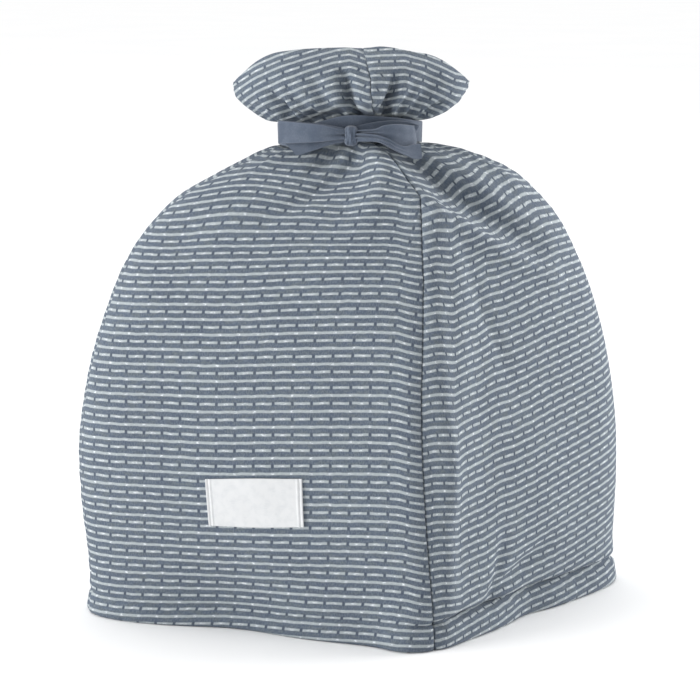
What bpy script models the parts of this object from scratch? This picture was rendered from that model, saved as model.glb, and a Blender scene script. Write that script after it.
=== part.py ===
"""A tea cosy: four sewn cloth panels, drawn in at the neck by a ribbon tied in a bow.

The cosy stands on its hem at z = 0 with its centre on the Z axis, and the front panel faces -Y.
It is hollow below the neck. Each panel runs from the hem over the body, through the gathered
neck and up into the frill. A section through the body is a soft-cornered, slightly skewed
four-sided figure, which turns into an ellipse towards the neck. Its long axis is turned a
little from X, so most sizes below are along that axis and across it.
"""

import math
from collections import namedtuple

import bpy
import numpy as np

MM = 0.001

# Driving dimensions, in mm
LONG_AXIS_TURN = math.radians(17.0)  # from X, so that the front panel faces -Y
SIDE_CORNER_RISE = 0.231  # across per along, from the centre to a side corner
SIDE_CORNER_OUT = 1.165  # sharp side corner per reach of the soft one
NEAR_CORNER_OUT = 1.03
SIDE_SOFTNESS = 56.0  # length over which a side corner turns, each way
NEAR_SOFTNESS = 13.0  # the same at the near and far corners
WALL = 4.0
FRILL_WALL = 2.6
WALL_EASES_FROM = 225.0  # the height at which the wall starts to thin towards the frill's
WALL_EASES_OVER = 35.0
THROAT_RADIUS = 1.6  # the way left in the middle of the gathered neck
CLOSING = 3.8  # the height over which the inner face closes in, below and above the neck
PIECE_GAP = 0.4
SEAM_DIP = 0.9
SEAM_DIP_WIDTH = 3.5
PANEL_WIDTH_PER_REACH = 1.3
LEAST_PANEL_WIDTH = 20.0
BILLOW = 3.5  # how far a panel's middle stands out between its seams
BILLOW_TOP = 200.0
HEM_BAND = 1.0  # the length of cloth at the hem that lies flat on z = 0

LABEL_WIDTH = 50.0
LABEL_HEIGHT = 24.5
LABEL_THICKNESS = 1.0
LABEL_CENTRE_X = -25.6
LABEL_CENTRE_HEIGHT = 69.5
LABEL_TILT = math.radians(3.7)  # its right end is the higher one
LABEL_COLUMNS, LABEL_ROWS = 8, 4

TIE_HEIGHT = 245.5
TIE_LIFT = 6.0  # how much higher the tie sits in front
TIE_LIFT_TURN = math.radians(272.0)
TIE_LIFT_LEFT = math.radians(28.0)  # how fast it falls away to the left of that, and to the right
TIE_LIFT_RIGHT = math.radians(62.0)
TIE_LIFT_SPAN = 14.0  # how fast the cloth stops following the tie above and below it
TIE_WIDTH = 10.8
TIE_THICKNESS = 1.3
TIE_EDGE = 0.45  # the width of the thin edge of a tape
TIE_CLEARANCE = 1.5  # from the gathered cloth to the band
BAND_STEPS = 56
KNOT_CENTRE = (-2.0, -32.3, 247.0)  # along and across the long axis, and up
KNOT_HALVES = (4.4, 4.8, 5.6)
KNOT_SQUARENESS = 0.7  # 1 is an ellipsoid, and less is squarer
KNOT_ROWS, KNOT_COLUMNS = 9, 14

# Turn of each seam where it meets the neck, from the long axis: left, near, right, far, left again
NECK_TURNS = [math.radians(turn) for turn in (190, 291, 370, 471, 550)]
FRILL_TWIST = math.radians(-11.0)
FRILL_TWIST_SPAN = 14.0
PANELS = ("panel_front", "panel_right", "panel_back", "panel_left")

# Columns and rows of faces on a panel
COLUMNS = 20
BODY_ROWS = 19
FRILL_ROWS = 13
ROW_CROWDING = 0.92  # under 1, the body's rows lie closer towards the neck
SHARP_ANGLE = math.radians(50)

# Level sections, from the hem to the frill's edge. side_reach is the half length along the long
# axis, near_across and near_along place the near seam, shift moves the section along the long
# axis, and roundness goes from 0, four-sided, to 1, an ellipse.
Section = namedtuple("Section", "height side_reach near_across near_along shift roundness")
SECTIONS = [
    Section(0.0, 140.5, 96.5, 37.3, 1.5, 0.0),
    Section(12.0, 139.0, 96.0, 37.0, 1.8, 0.0),
    Section(30.0, 138.5, 96.5, 36.5, 1.2, 0.0),
    Section(60.0, 140.8, 95.5, 35.5, 0.0, 0.0),
    Section(90.0, 140.8, 91.5, 34.5, -0.8, 0.0),
    Section(120.0, 136.5, 87.5, 33.5, -0.6, 0.0),
    Section(150.0, 129.2, 81.5, 33.0, -0.2, 0.05),
    Section(180.0, 117.5, 71.0, 32.5, 0.0, 0.15),
    Section(200.0, 106.0, 59.5, 32.0, 1.0, 0.3),
    Section(213.0, 93.8, 49.0, 31.5, 2.2, 0.45),
    Section(224.0, 78.0, 39.5, 29.0, 5.5, 0.65),
    Section(232.0, 61.0, 32.0, 23.5, 5.5, 0.85),
    Section(236.2, 50.5, 27.5, 18.0, 3.5, 1.0),
    Section(238.6, 42.5, 25.0, 15.0, 1.0, 1.0),
    Section(239.9, 34.5, 24.0, 14.0, -2.5, 1.0),
    Section(251.2, 34.5, 24.0, 14.0, -2.5, 1.0),
    Section(253.0, 41.0, 25.8, 14.0, -3.5, 1.0),
    Section(258.0, 51.0, 29.3, 14.0, -3.0, 1.0),
    Section(264.0, 56.5, 31.5, 14.0, -2.5, 1.0),
    Section(270.0, 60.0, 32.5, 14.0, -2.5, 1.0),
    Section(277.0, 57.0, 31.0, 14.0, -2.5, 1.0),
    Section(283.0, 46.5, 25.0, 14.0, -2.0, 1.0),
    Section(287.0, 40.0, 15.0, 14.0, -2.0, 1.0),
    Section(288.8, 36.5, 7.0, 14.0, -2.0, 1.0),
]
NECK_SECTION = 14

# Soft troughs (depth above 0) and ridges (below 0) in the cloth. A place is how far round the cosy
# it is, counted in panels from the left seam, and its height.
Fold = namedtuple("Fold", "start_round start_height end_round end_height half_width depth")
FOLDS = [
    Fold(0.86, 238, 0.60, 206, 8.0, 4.0),
    Fold(0.60, 206, 0.38, 184, 11.0, 1.8),
    Fold(0.95, 236, 0.90, 205, 12.0, -3.5),
    Fold(0.28, 214, 0.22, 190, 10.0, 2.2),
    Fold(1.12, 236, 1.45, 196, 13.0, 4.5),
    Fold(1.10, 196, 1.13, 60, 6.0, 1.4),
    Fold(1.08, 200, 1.22, 188, 5.0, -1.6),
    Fold(1.30, 8, 1.95, 26, 6.0, 1.6),
    Fold(0.50, -22, 0.48, 20, 27.0, 7.5),
    Fold(0.92, -18, 0.92, 18, 12.0, -5.0),
    Fold(1.42, -20, 1.40, 20, 16.0, 3.5),
    Fold(2.00, 238, 1.85, 224, 9.0, -1.2),
    Fold(2.35, 232, 2.30, 190, 11.0, 3.0),
    Fold(2.75, 234, 2.80, 196, 12.0, 3.2),
    Fold(3.35, 234, 3.45, 196, 11.0, 3.4),
    Fold(2.30, 60, 2.75, 22, 9.0, 1.6),
    Fold(2.45, -20, 2.45, 20, 26.0, 6.0),
    Fold(2.93, -18, 2.93, 18, 14.0, -3.0),
    Fold(3.25, 22, 3.60, 48, 9.0, 1.8),
    Fold(3.55, -20, 3.55, 20, 24.0, 5.0),
    Fold(0.83, 254, 0.78, 270, 3.2, 7.0),
    Fold(1.02, 254, 1.00, 267, 2.8, 4.0),
    Fold(0.45, 254, 0.40, 263, 3.0, 1.8),
    Fold(2.25, 254, 2.20, 270, 3.4, 4.5),
    Fold(2.70, 254, 2.78, 272, 3.4, 6.0),
    Fold(3.30, 254, 3.35, 268, 3.2, 4.0),
    Fold(1.55, 254, 1.62, 266, 3.0, 3.0),
]
FOLD_SAMPLES = 14
FOLD_END = 0.12  # how far into its rise a fold starts, as a part of half a wave

# Small pleats where the ribbon draws the cloth in: waves round the neck, each with its height
Pleat = namedtuple("Pleat", "waves shift depth")
PLEATS = [Pleat(11, 0.4, 0.55), Pleat(17, 1.9, 0.4)]
PLEAT_SPAN = 20.0
PLEAT_UNDER_TIE = 0.6
PLEAT_RISE = 6.0  # the height over which the pleats grow out from under the tie


def unit(vectors):
    """The vectors at length 1, along the last axis."""
    return vectors / np.maximum(np.linalg.norm(vectors, axis=-1, keepdims=True), 1e-9)


def ease(value):
    """0 to 1 with a soft start and end."""
    value = np.clip(value, 0.0, 1.0)
    return value * value * (3.0 - 2.0 * value)


def smooth(stations, values, at):
    """A smooth curve through the values at the stations, read at the given places."""
    stations = np.asarray(stations, float)
    values = np.asarray(values, float)
    slopes = np.gradient(values, stations)
    left = np.clip(np.searchsorted(stations, at, side="right") - 1, 0, len(stations) - 2)
    span = stations[left + 1] - stations[left]
    part = (at - stations[left]) / span
    rise = part * part * (3.0 - 2.0 * part)
    start_pull = part * (1.0 - part) ** 2
    end_pull = part * part * (1.0 - part)
    return (
        values[left] * (1.0 - rise)
        + values[left + 1] * rise
        + span * (slopes[left] * start_pull - slopes[left + 1] * end_pull)
    )


def section_stations():
    """The length along the cloth from the hem to each section, in mm."""
    steps = [
        math.hypot(high.height - low.height, high.side_reach - low.side_reach)
        for low, high in zip(SECTIONS, SECTIONS[1:])
    ]
    return np.concatenate([[0.0], np.cumsum(steps)])


STATIONS = section_stations()


def column(name, along):
    """One column of SECTIONS, read smoothly at lengths along the cloth."""
    return smooth(STATIONS, [getattr(section, name) for section in SECTIONS], along)


def station_at(height):
    """The length along the cloth at which it is this high."""
    lengths = np.linspace(0.0, STATIONS[-1], 600)
    return np.interp(height, column("height", lengths), lengths)


def four_sided(around, along):
    """Points of the soft-cornered four-sided section, along and across the long axis."""
    side = column("side_reach", along)
    near_across = column("near_across", along)
    near_along = column("near_along", along)
    right = np.stack([side * SIDE_CORNER_OUT, side * SIDE_CORNER_OUT * SIDE_CORNER_RISE], axis=-1)
    near = np.stack([near_along, -near_across], axis=-1) * NEAR_CORNER_OUT
    corners = np.stack([-right, near, right, -near], axis=0)
    scale = side / SECTIONS[0].side_reach
    softness = [SIDE_SOFTNESS, NEAR_SOFTNESS]
    nearest = np.round(around).astype(int)
    points = np.empty(around.shape + (2,))
    for corner in range(5):
        here = nearest == corner
        if not here.any():
            continue
        at = corners[corner % 4][here]
        before = corners[(corner - 1) % 4][here]
        after = corners[(corner + 1) % 4][here]
        offset = around[here] - corner
        behind, ahead = (np.linalg.norm(end - at, axis=-1) for end in (before, after))
        reach = np.where(offset < 0, behind, ahead)
        distance = (offset * reach)[:, None]
        soft = (softness[corner % 2] * scale[here])[:, None]
        inward, outward = unit(at - before), unit(after - at)
        pull = outward * (soft + distance) ** 2 - inward * (soft - distance) ** 2
        turned = at + pull / (4.0 * soft)
        straight = at + np.where(distance < 0, inward, outward) * distance
        points[here] = np.where(np.abs(distance) < soft, turned, straight)
    return points


def turn_at(around, height):
    """The turn from the long axis of places round the neck and the frill."""
    twist = FRILL_TWIST * ease((height - TIE_HEIGHT) / FRILL_TWIST_SPAN)
    return np.interp(around, range(5), NECK_TURNS) + twist


def tie_lift(turn):
    """How much the tie is raised at a turn round the neck, in mm."""
    apart = (turn - TIE_LIFT_TURN + math.pi) % (2 * math.pi) - math.pi
    spread = np.where(apart < 0, TIE_LIFT_LEFT, TIE_LIFT_RIGHT)
    return TIE_LIFT * np.exp(-((apart / spread) ** 2))


def elliptic(around, along):
    """Points of the elliptic section, along and across the long axis."""
    turn = turn_at(around, column("height", along))
    long_half = column("side_reach", along)
    short_half = column("near_across", along) / abs(math.sin(NECK_TURNS[1]))
    return np.stack([long_half * np.cos(turn), short_half * np.sin(turn)], axis=-1)


def plain_surface(around, along):
    """Points of the cloth's outer face before folds, in mm, by panels round and length up."""
    around, along = np.broadcast_arrays(np.asarray(around, float), np.asarray(along, float))
    roundness = np.clip(column("roundness", along), 0.0, 1.0)[..., None]
    flat = four_sided(around, along) * (1.0 - roundness) + elliptic(around, along) * roundness
    height = column("height", along)
    belly = np.sin(np.pi * np.clip(height / BILLOW_TOP, 0.0, 1.0))
    middle = np.sin(np.pi * (around % 1.0)) ** 2
    flat = flat + unit(flat) * (BILLOW * belly * middle)[..., None]
    near_tie = np.exp(-(((height - TIE_HEIGHT) / TIE_LIFT_SPAN) ** 2))
    lift = tie_lift(turn_at(around, height)) * near_tie
    return placed(flat[..., 0] + column("shift", along), flat[..., 1], height + lift)


def placed(along_axis, across_axis, height):
    """Points in X, Y and Z from places along and across the long axis."""
    cos, sin = math.cos(LONG_AXIS_TURN), math.sin(LONG_AXIS_TURN)
    return np.stack(
        np.broadcast_arrays(
            along_axis * cos - across_axis * sin, along_axis * sin + across_axis * cos, height
        ),
        axis=-1,
    )


def normals_at(around, along):
    """Outward normals of the plain surface."""
    step_round, step_up = 0.01, 0.5
    low = np.clip(along - step_up, 0.0, STATIONS[-1])
    high = np.clip(along + step_up, 0.0, STATIONS[-1])
    after = plain_surface((around + step_round) % 4.0, along)
    before = plain_surface((around - step_round) % 4.0, along)
    upward = plain_surface(around % 4.0, high) - plain_surface(around % 4.0, low)
    return unit(np.cross(after - before, upward))


def fold_depth(points):
    """How far the folds push each point in, in mm."""
    depth = np.zeros(points.shape[:-1])
    for fold in FOLDS:
        part = np.linspace(0.0, 1.0, FOLD_SAMPLES)
        around = fold.start_round + (fold.end_round - fold.start_round) * part
        height = fold.start_height + (fold.end_height - fold.start_height) * part
        line = plain_surface(around % 4.0, station_at(height))
        apart = np.linalg.norm(points[..., None, :] - line, axis=-1) / fold.half_width
        strength = np.exp(-(apart**2)) * np.sin(np.pi * (FOLD_END + (1.0 - 2.0 * FOLD_END) * part))
        depth += fold.depth * strength.max(axis=-1)
    return depth


def pleat_depth(around, along):
    """How far the pleats at the neck push each point in, in mm."""
    height = column("height", along)
    turn = turn_at(around, height)
    away = np.maximum(np.abs(height - TIE_HEIGHT) - TIE_WIDTH / 2, 0.0)
    fade = np.exp(-((away / PLEAT_SPAN) ** 2)) * (PLEAT_UNDER_TIE + ease(away / PLEAT_RISE))
    waves = sum(pleat.depth * np.cos(pleat.waves * turn + pleat.shift) for pleat in PLEATS)
    return np.where(away < PLEAT_SPAN * 2, waves * fade, 0.0)


def seam_depth(around, along):
    """How far a seam draws the cloth in beside it, in mm."""
    width = np.maximum(column("side_reach", along) * PANEL_WIDTH_PER_REACH, LEAST_PANEL_WIDTH)
    apart = np.abs(around - np.round(around)) * width
    return SEAM_DIP * np.exp(-((apart / SEAM_DIP_WIDTH) ** 2))


def cloth_surface(around, along):
    """(points, normals) of the cloth's outer face with its folds, in mm."""
    around, along = np.broadcast_arrays(np.asarray(around, float), np.asarray(along, float))
    points = plain_surface(around % 4.0, along)
    normals = normals_at(around, along)
    inward = fold_depth(points) + pleat_depth(around % 4.0, along) + seam_depth(around, along)
    folded = points - normals * inward[..., None]
    folded[..., 2] = np.where(along < HEM_BAND, 0.0, np.maximum(folded[..., 2], 0.0))
    return folded, normals


def inner_surface(points, normals, along):
    """Points of the cloth's inner face, in mm: a wall inside the outer one, closed up at the neck."""
    height = column("height", along)
    wall = WALL + (FRILL_WALL - WALL) * ease((height - WALL_EASES_FROM) / WALL_EASES_OVER)
    inner = points - normals * wall[..., None]
    inner[..., 2] = np.where(along < HEM_BAND, 0.0, np.maximum(inner[..., 2], 0.0))
    pinch_low = SECTIONS[NECK_SECTION].height
    pinch_high = SECTIONS[NECK_SECTION + 1].height
    below = ease((height - pinch_low + CLOSING) / CLOSING)
    above = ease((pinch_high + CLOSING - height) / CLOSING)
    closed = (below * above)[..., None]
    drop = WALL * ease((pinch_low + WALL - height) / WALL)
    rise = FRILL_WALL * ease((height - pinch_high + FRILL_WALL) / FRILL_WALL)
    middle = placed(SECTIONS[NECK_SECTION].shift, 0.0, 0.0)[:2]
    throat = middle + unit(points[..., :2] - middle) * THROAT_RADIUS
    throat = np.concatenate([throat, (points[..., 2] - drop + rise)[..., None]], axis=-1)
    return inner * (1.0 - closed) + throat * closed


def panel_rows():
    """Lengths along the cloth of a panel's rows, closer together in the neck and the frill."""
    neck = STATIONS[NECK_SECTION]
    body = np.linspace(0.0, 1.0, BODY_ROWS + 1) ** ROW_CROWDING * neck
    frill = np.linspace(neck, STATIONS[-1], FRILL_ROWS + 1)
    return np.concatenate([body, frill[1:]])


def build_mesh(name, points, faces):
    """A mesh object from points in mm."""
    mesh = bpy.data.meshes.new(name)
    mesh.from_pydata([tuple(point) for point in np.asarray(points) * MM], [], faces)
    mesh.validate()
    mesh.shade_smooth()
    mesh.set_sharp_from_angle(angle=SHARP_ANGLE)
    obj = bpy.data.objects.new(name, mesh)
    bpy.context.collection.objects.link(obj)
    return obj


def slab(name, outer, inner):
    """A closed solid between two grids of points that have the same rows and columns."""
    rows, columns = outer.shape[:2]
    points = np.concatenate([outer.reshape(-1, 3), inner.reshape(-1, 3)])
    inside = rows * columns
    faces = []
    for row in range(rows - 1):
        for col in range(columns - 1):
            low = row * columns + col
            high = low + columns
            faces.append((low, low + 1, high + 1, high))
            faces.append((inside + low, inside + high, inside + high + 1, inside + low + 1))
    edge = [col for col in range(columns)]
    edge += [row * columns + columns - 1 for row in range(1, rows)]
    edge += [(rows - 1) * columns + col for col in range(columns - 2, -1, -1)]
    edge += [row * columns for row in range(rows - 2, 0, -1)]
    # A side face is split the same way on both pieces at a seam, so that they stay parallel.
    for first, second in zip(edge, edge[1:] + edge[:1]):
        if first < second:
            faces += [(second, first, inside + second), (first, inside + first, inside + second)]
        else:
            faces += [(second, first, inside + first), (second, inside + first, inside + second)]
    return build_mesh(name, points, faces)


def make_panel(index):
    """One of the four panels, from its left seam to its right seam and from hem to frill."""
    along = panel_rows()
    part = np.linspace(0.0, 1.0, COLUMNS + 1)
    around, along = np.meshgrid(index + part, along)
    outer, normals = cloth_surface(around, along)
    inner = inner_surface(outer, normals, along)
    sideways = unit(np.cross(np.array([0.0, 0.0, 1.0]), normals))
    for side, half_gap in ((0, PIECE_GAP / 2), (-1, -PIECE_GAP / 2)):
        outer[:, side] += sideways[:, side] * half_gap
        inner[:, side] += sideways[:, side] * half_gap
    return slab(PANELS[index], outer, inner)


def front_places(x_places, heights):
    """(round, along) of the points of the front panel at these X places, in mm, and heights."""
    front = np.linspace(0.0, 0.999, 200)
    along = station_at(heights)
    around = [
        np.interp(x, plain_surface(front, length)[..., 0], front)
        for x, length in zip(x_places, along)
    ]
    return np.array(around), along


def make_label():
    """The blank woven label, sewn flat on the front panel."""
    right, up = np.meshgrid(
        LABEL_WIDTH * np.linspace(-0.5, 0.5, LABEL_COLUMNS + 1),
        LABEL_HEIGHT * np.linspace(-0.5, 0.5, LABEL_ROWS + 1),
    )
    x_places = LABEL_CENTRE_X + right * math.cos(LABEL_TILT) - up * math.sin(LABEL_TILT)
    heights = LABEL_CENTRE_HEIGHT + right * math.sin(LABEL_TILT) + up * math.cos(LABEL_TILT)
    around, along = front_places(x_places.ravel(), heights.ravel())
    points, normals = cloth_surface(around, along)
    points, normals = (grid.reshape(x_places.shape + (3,)) for grid in (points, normals))
    face = points + normals * (PIECE_GAP + LABEL_THICKNESS)
    return slab("label", face, points + normals * PIECE_GAP)


# A tape's middle line: its place in mm, its width there and how far its lower edge leans out
TapePoint = namedtuple("TapePoint", "along across height width lean")
LEFT_LOOP = [
    TapePoint(-1.5, -33.5, 247.0, 6.5, 0),
    TapePoint(-7.0, -34.8, 247.8, 7.5, 0),
    TapePoint(-16.0, -35.0, 248.0, 9.6, 4),
    TapePoint(-27.0, -32.0, 248.0, 11.0, 6),
    TapePoint(-35.5, -27.0, 248.0, 11.4, 4),
    TapePoint(-38.2, -23.6, 248.0, 11.4, 0),
    TapePoint(-36.0, -21.6, 248.0, 11.2, 0),
    TapePoint(-28.0, -24.2, 248.0, 10.6, 0),
    TapePoint(-17.0, -29.0, 248.2, 9.0, 0),
    TapePoint(-8.0, -31.4, 248.0, 7.5, 0),
    TapePoint(-2.0, -32.2, 247.5, 6.5, 0),
]
RIGHT_LOOP = [
    TapePoint(-1.0, -34.0, 246.5, 5.0, 0),
    TapePoint(5.0, -35.6, 246.6, 5.4, 0),
    TapePoint(11.0, -36.2, 247.0, 6.8, 0),
    TapePoint(17.0, -35.2, 247.8, 9.6, 4),
    TapePoint(24.0, -31.6, 247.0, 11.6, 8),
    TapePoint(29.6, -27.0, 246.2, 11.8, 8),
    TapePoint(31.0, -24.4, 246.4, 11.6, 4),
    TapePoint(28.0, -23.4, 247.6, 11.2, 0),
    TapePoint(19.0, -27.0, 249.4, 9.6, 0),
    TapePoint(9.0, -31.0, 249.4, 7.6, 0),
    TapePoint(-1.0, -32.6, 248.4, 6.5, 0),
]
LEFT_TAIL = [
    TapePoint(-2.5, -33.0, 245.6, 5.5, 0),
    TapePoint(-9.0, -33.4, 245.0, 6.5, 6),
    TapePoint(-16.0, -32.8, 243.6, 8.0, 16),
    TapePoint(-24.0, -31.2, 242.0, 9.6, 24),
    TapePoint(-31.5, -29.0, 241.2, 10.6, 26),
]
RIGHT_TAIL = [
    TapePoint(-1.0, -35.0, 245.6, 5.0, 0),
    TapePoint(6.0, -37.4, 245.4, 5.0, 0),
    TapePoint(13.0, -38.2, 244.6, 5.6, 10),
    TapePoint(20.0, -37.2, 242.2, 7.6, 25),
    TapePoint(26.5, -33.6, 239.6, 10.0, 42),
    TapePoint(34.5, -28.6, 238.4, 11.4, 48),
]
# The ribbon's loops and free ends, each with its number of steps along the tape
TAPES = {
    "left_loop": (LEFT_LOOP, 34),
    "right_loop": (RIGHT_LOOP, 34),
    "left_tail": (LEFT_TAIL, 12),
    "right_tail": (RIGHT_TAIL, 14),
}


def tape_solid(name, stations, steps, closed=False):
    """A flat tape with thin edges, swept along its middle line."""
    places = placed(*np.array([point[:3] for point in stations], float).T)
    lengths = np.concatenate([[0.0], np.cumsum(np.linalg.norm(np.diff(places, axis=0), axis=-1))])
    at = np.linspace(0.0, lengths[-1], steps + 1)
    middle = np.stack([smooth(lengths, places[:, axis], at) for axis in range(3)], axis=-1)
    width = smooth(lengths, [point.width for point in stations], at)
    lean = np.radians(smooth(lengths, [point.lean for point in stations], at))
    if closed:
        middle, width, lean = middle[:-1], width[:-1], lean[:-1]
        ahead = np.roll(middle, -1, axis=0) - np.roll(middle, 1, axis=0)
    else:
        ahead = np.gradient(middle, axis=0)
    ahead = unit(ahead)
    up = unit(np.array([0.0, 0.0, 1.0]) - ahead * ahead[:, 2:])
    out = np.cross(ahead, up)
    from_axis = middle - placed(SECTIONS[NECK_SECTION].shift, 0.0, 0.0)
    away = np.sign(np.sum(out * from_axis, axis=-1, keepdims=True))
    across = up * np.cos(lean)[:, None] - out * away * np.sin(lean)[:, None]
    out = np.cross(ahead, across)
    half = TIE_THICKNESS / 2
    section = [
        (-0.5, 0.0, 0.0),
        (-0.5, TIE_EDGE, -half),
        (0.5, -TIE_EDGE, -half),
        (0.5, 0.0, 0.0),
        (0.5, -TIE_EDGE, half),
        (-0.5, TIE_EDGE, half),
    ]
    rings = [
        middle + across * (width * share + inset)[:, None] + out * lift
        for share, inset, lift in section
    ]
    rings = np.stack(rings, axis=1)
    rows, sides = rings.shape[:2]
    faces = []
    for row in range(rows if closed else rows - 1):
        for side in range(sides):
            beside = (side + 1) % sides
            here, after = row * sides, (row + 1) % rows * sides
            faces.append((here + side, after + side, after + beside, here + beside))
    if not closed:
        faces.append(tuple(range(sides)))
        faces.append(tuple((rows - 1) * sides + side for side in reversed(range(sides))))
    return build_mesh(name, rings.reshape(-1, 3), faces)


def band_stations():
    """The middle line of the band round the gathered neck."""
    turns = np.linspace(0.0, 2 * math.pi, BAND_STEPS + 1)
    neck = SECTIONS[NECK_SECTION]
    out = TIE_CLEARANCE + TIE_THICKNESS / 2
    long_half = neck.side_reach + out
    short_half = neck.near_across / abs(math.sin(NECK_TURNS[1])) + out
    return [
        TapePoint(
            neck.shift + long_half * math.cos(turn),
            short_half * math.sin(turn),
            TIE_HEIGHT + float(tie_lift(turn)),
            TIE_WIDTH,
            0,
        )
        for turn in turns
    ]


def make_knot():
    """The knot, a rounded block of wound tape."""
    rise = np.pi * (np.arange(1, KNOT_ROWS) / KNOT_ROWS - 0.5)[:, None]
    turn = 2 * np.pi * np.arange(KNOT_COLUMNS) / KNOT_COLUMNS
    ball = np.stack(
        [np.cos(rise) * np.cos(turn), np.cos(rise) * np.sin(turn), np.sin(rise) + 0 * turn], axis=-1
    )
    ball = np.concatenate([ball.reshape(-1, 3), [[0.0, 0.0, -1.0], [0.0, 0.0, 1.0]]])
    block = np.sign(ball) * np.abs(ball) ** KNOT_SQUARENESS * KNOT_HALVES + KNOT_CENTRE
    last = (KNOT_ROWS - 2) * KNOT_COLUMNS
    bottom, top = len(ball) - 2, len(ball) - 1
    faces = []
    for col in range(KNOT_COLUMNS):
        beside = (col + 1) % KNOT_COLUMNS
        faces.append((bottom, beside, col))
        faces.append((top, last + col, last + beside))
        for low in range(0, last, KNOT_COLUMNS):
            high = low + KNOT_COLUMNS
            faces.append((low + col, low + beside, high + beside, high + col))
    return build_mesh("knot", placed(*block.T), faces)


def make_ribbon_tie():
    """The ribbon tied round the neck: band, knot, two loops and two free ends, as one solid."""
    tie = tape_solid("ribbon_tie", band_stations(), BAND_STEPS, closed=True)
    pieces = [tape_solid(name, line, steps) for name, (line, steps) in TAPES.items()]
    for piece in [make_knot(), *pieces]:
        piece.hide_render = True
        piece.display_type = "WIRE"
        union = tie.modifiers.new(piece.name, "BOOLEAN")
        union.operation = "UNION"
        union.object = piece
    return tie


def material(name, color, roughness):
    """A Principled material."""
    made = bpy.data.materials.new(name)
    made.use_nodes = True
    shader = made.node_tree.nodes["Principled BSDF"]
    shader.inputs["Base Color"].default_value = (*color, 1.0)
    shader.inputs["Roughness"].default_value = roughness
    shader.inputs["Metallic"].default_value = 0.0
    return made


def main():
    for obj in list(bpy.data.objects):
        bpy.data.objects.remove(obj)
    cloth = material("striped_cloth", (0.20, 0.24, 0.30), 0.9)
    for index in range(len(PANELS)):
        make_panel(index).data.materials.append(cloth)
    make_label().data.materials.append(material("woven_label", (0.86, 0.87, 0.87), 0.7))
    make_ribbon_tie().data.materials.append(material("ribbon", (0.13, 0.17, 0.25), 0.6))


main()
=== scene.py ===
"""The look of a tea cosy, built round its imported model.

Four striped cloth panels are sewn together at four seams and hemmed. A ribbon, tied in a bow,
draws them in at the neck, and above it they open into a frill. A blank woven label is sewn on
the front. Lengths are in mm up to the point where a mesh is made. A place on the cloth is told
by how far round the cosy it is, in panels from the left seam, and by its length up the cloth.
"""

import logging
import math
from dataclasses import dataclass, field
from enum import Enum
from typing import NamedTuple

import bpy
import numpy as np
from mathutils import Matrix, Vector


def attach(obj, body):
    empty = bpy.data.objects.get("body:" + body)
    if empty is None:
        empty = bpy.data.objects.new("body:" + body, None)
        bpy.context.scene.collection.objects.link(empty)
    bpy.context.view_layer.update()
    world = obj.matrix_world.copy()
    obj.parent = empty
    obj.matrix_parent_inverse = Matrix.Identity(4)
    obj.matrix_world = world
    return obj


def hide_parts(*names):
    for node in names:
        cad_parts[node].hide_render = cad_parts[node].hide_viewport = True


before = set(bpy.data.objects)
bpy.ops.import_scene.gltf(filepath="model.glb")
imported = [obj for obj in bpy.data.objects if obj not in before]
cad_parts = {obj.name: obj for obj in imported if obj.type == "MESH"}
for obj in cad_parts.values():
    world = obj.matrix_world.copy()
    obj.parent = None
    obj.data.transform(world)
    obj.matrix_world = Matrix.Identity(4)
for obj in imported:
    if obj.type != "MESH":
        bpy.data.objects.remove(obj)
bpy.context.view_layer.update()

log = logging.getLogger("cosy")

MM = 0.001
BODY = "root"
PANELS = 4
TINY = 1e-9
SHARP_EDGE = math.radians(60.0)  # where two faces meet at more than this, the edge is drawn sharp

Array = np.ndarray
Color = tuple[float, float, float]


class Panel(Enum):
    """The four cloth panels, each numbered by the seam that it starts from."""

    FRONT = 0
    RIGHT = 1
    BACK = 2
    LEFT = 3

    @property
    def node(self) -> str:
        """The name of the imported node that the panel's cloth stands for."""
        return f"panel_{self.name.lower()}"

    @property
    def piece(self) -> str:
        """The name of the panel's own piece."""
        return f"{self.name.lower()}_cloth"


class Held(Enum):
    """How a piece of cloth is held in its shape."""

    GATHERED = "gathered"
    FOLDED = "folded"
    LAID = "laid"


class Section(NamedTuple):
    """A level section of the cosy. roundness goes from 0, four-sided, to 1, an ellipse."""

    height: float
    side_reach: float
    near_across: float
    near_along: float
    shift: float
    roundness: float


class Fold(NamedTuple):
    """A soft trough (depth above 0) or ridge (below 0) in the cloth, between two places."""

    start_round: float
    start_height: float
    end_round: float
    end_height: float
    half_width: float
    depth: float


class Tug(NamedTuple):
    """Where the tie draws the rows up, more and more from a place up the cloth on."""

    from_seam: float  # where it is strongest, away from the near seam
    reach: float
    starts: float
    steepness: float  # mm of rise for each mm up the cloth


class Swell(NamedTuple):
    """Where the cloth swells out between two folds, so that its rows sit lower."""

    from_seam: float
    reach: float
    up: float
    up_reach: float
    drop: float


class Pleat(NamedTuple):
    """A wave round the neck or the rim."""

    waves: int
    shift: float
    depth: float


class TapePoint(NamedTuple):
    """A point of a tape's middle line, its width there and how far its lower edge leans out."""

    along: float
    across: float
    height: float
    width: float
    lean: float


def rows_of(kind: type, *rows: tuple[float, ...]) -> tuple:
    """Rows of numbers, each as one of the named kind."""
    return tuple(kind(*row) for row in rows)


def unit(vectors: Array) -> Array:
    """The vectors at length 1, along the last axis."""
    return vectors / np.maximum(np.linalg.norm(vectors, axis=-1, keepdims=True), TINY)


def ease(value: Array) -> Array:
    """0 to 1 with a soft start and end."""
    value = np.clip(value, 0.0, 1.0)
    return value * value * (3.0 - 2.0 * value)


def bell(apart: Array, width: float) -> Array:
    """1 in the middle, falling away to nothing over the width."""
    return np.exp(-((apart / width) ** 2))


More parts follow.
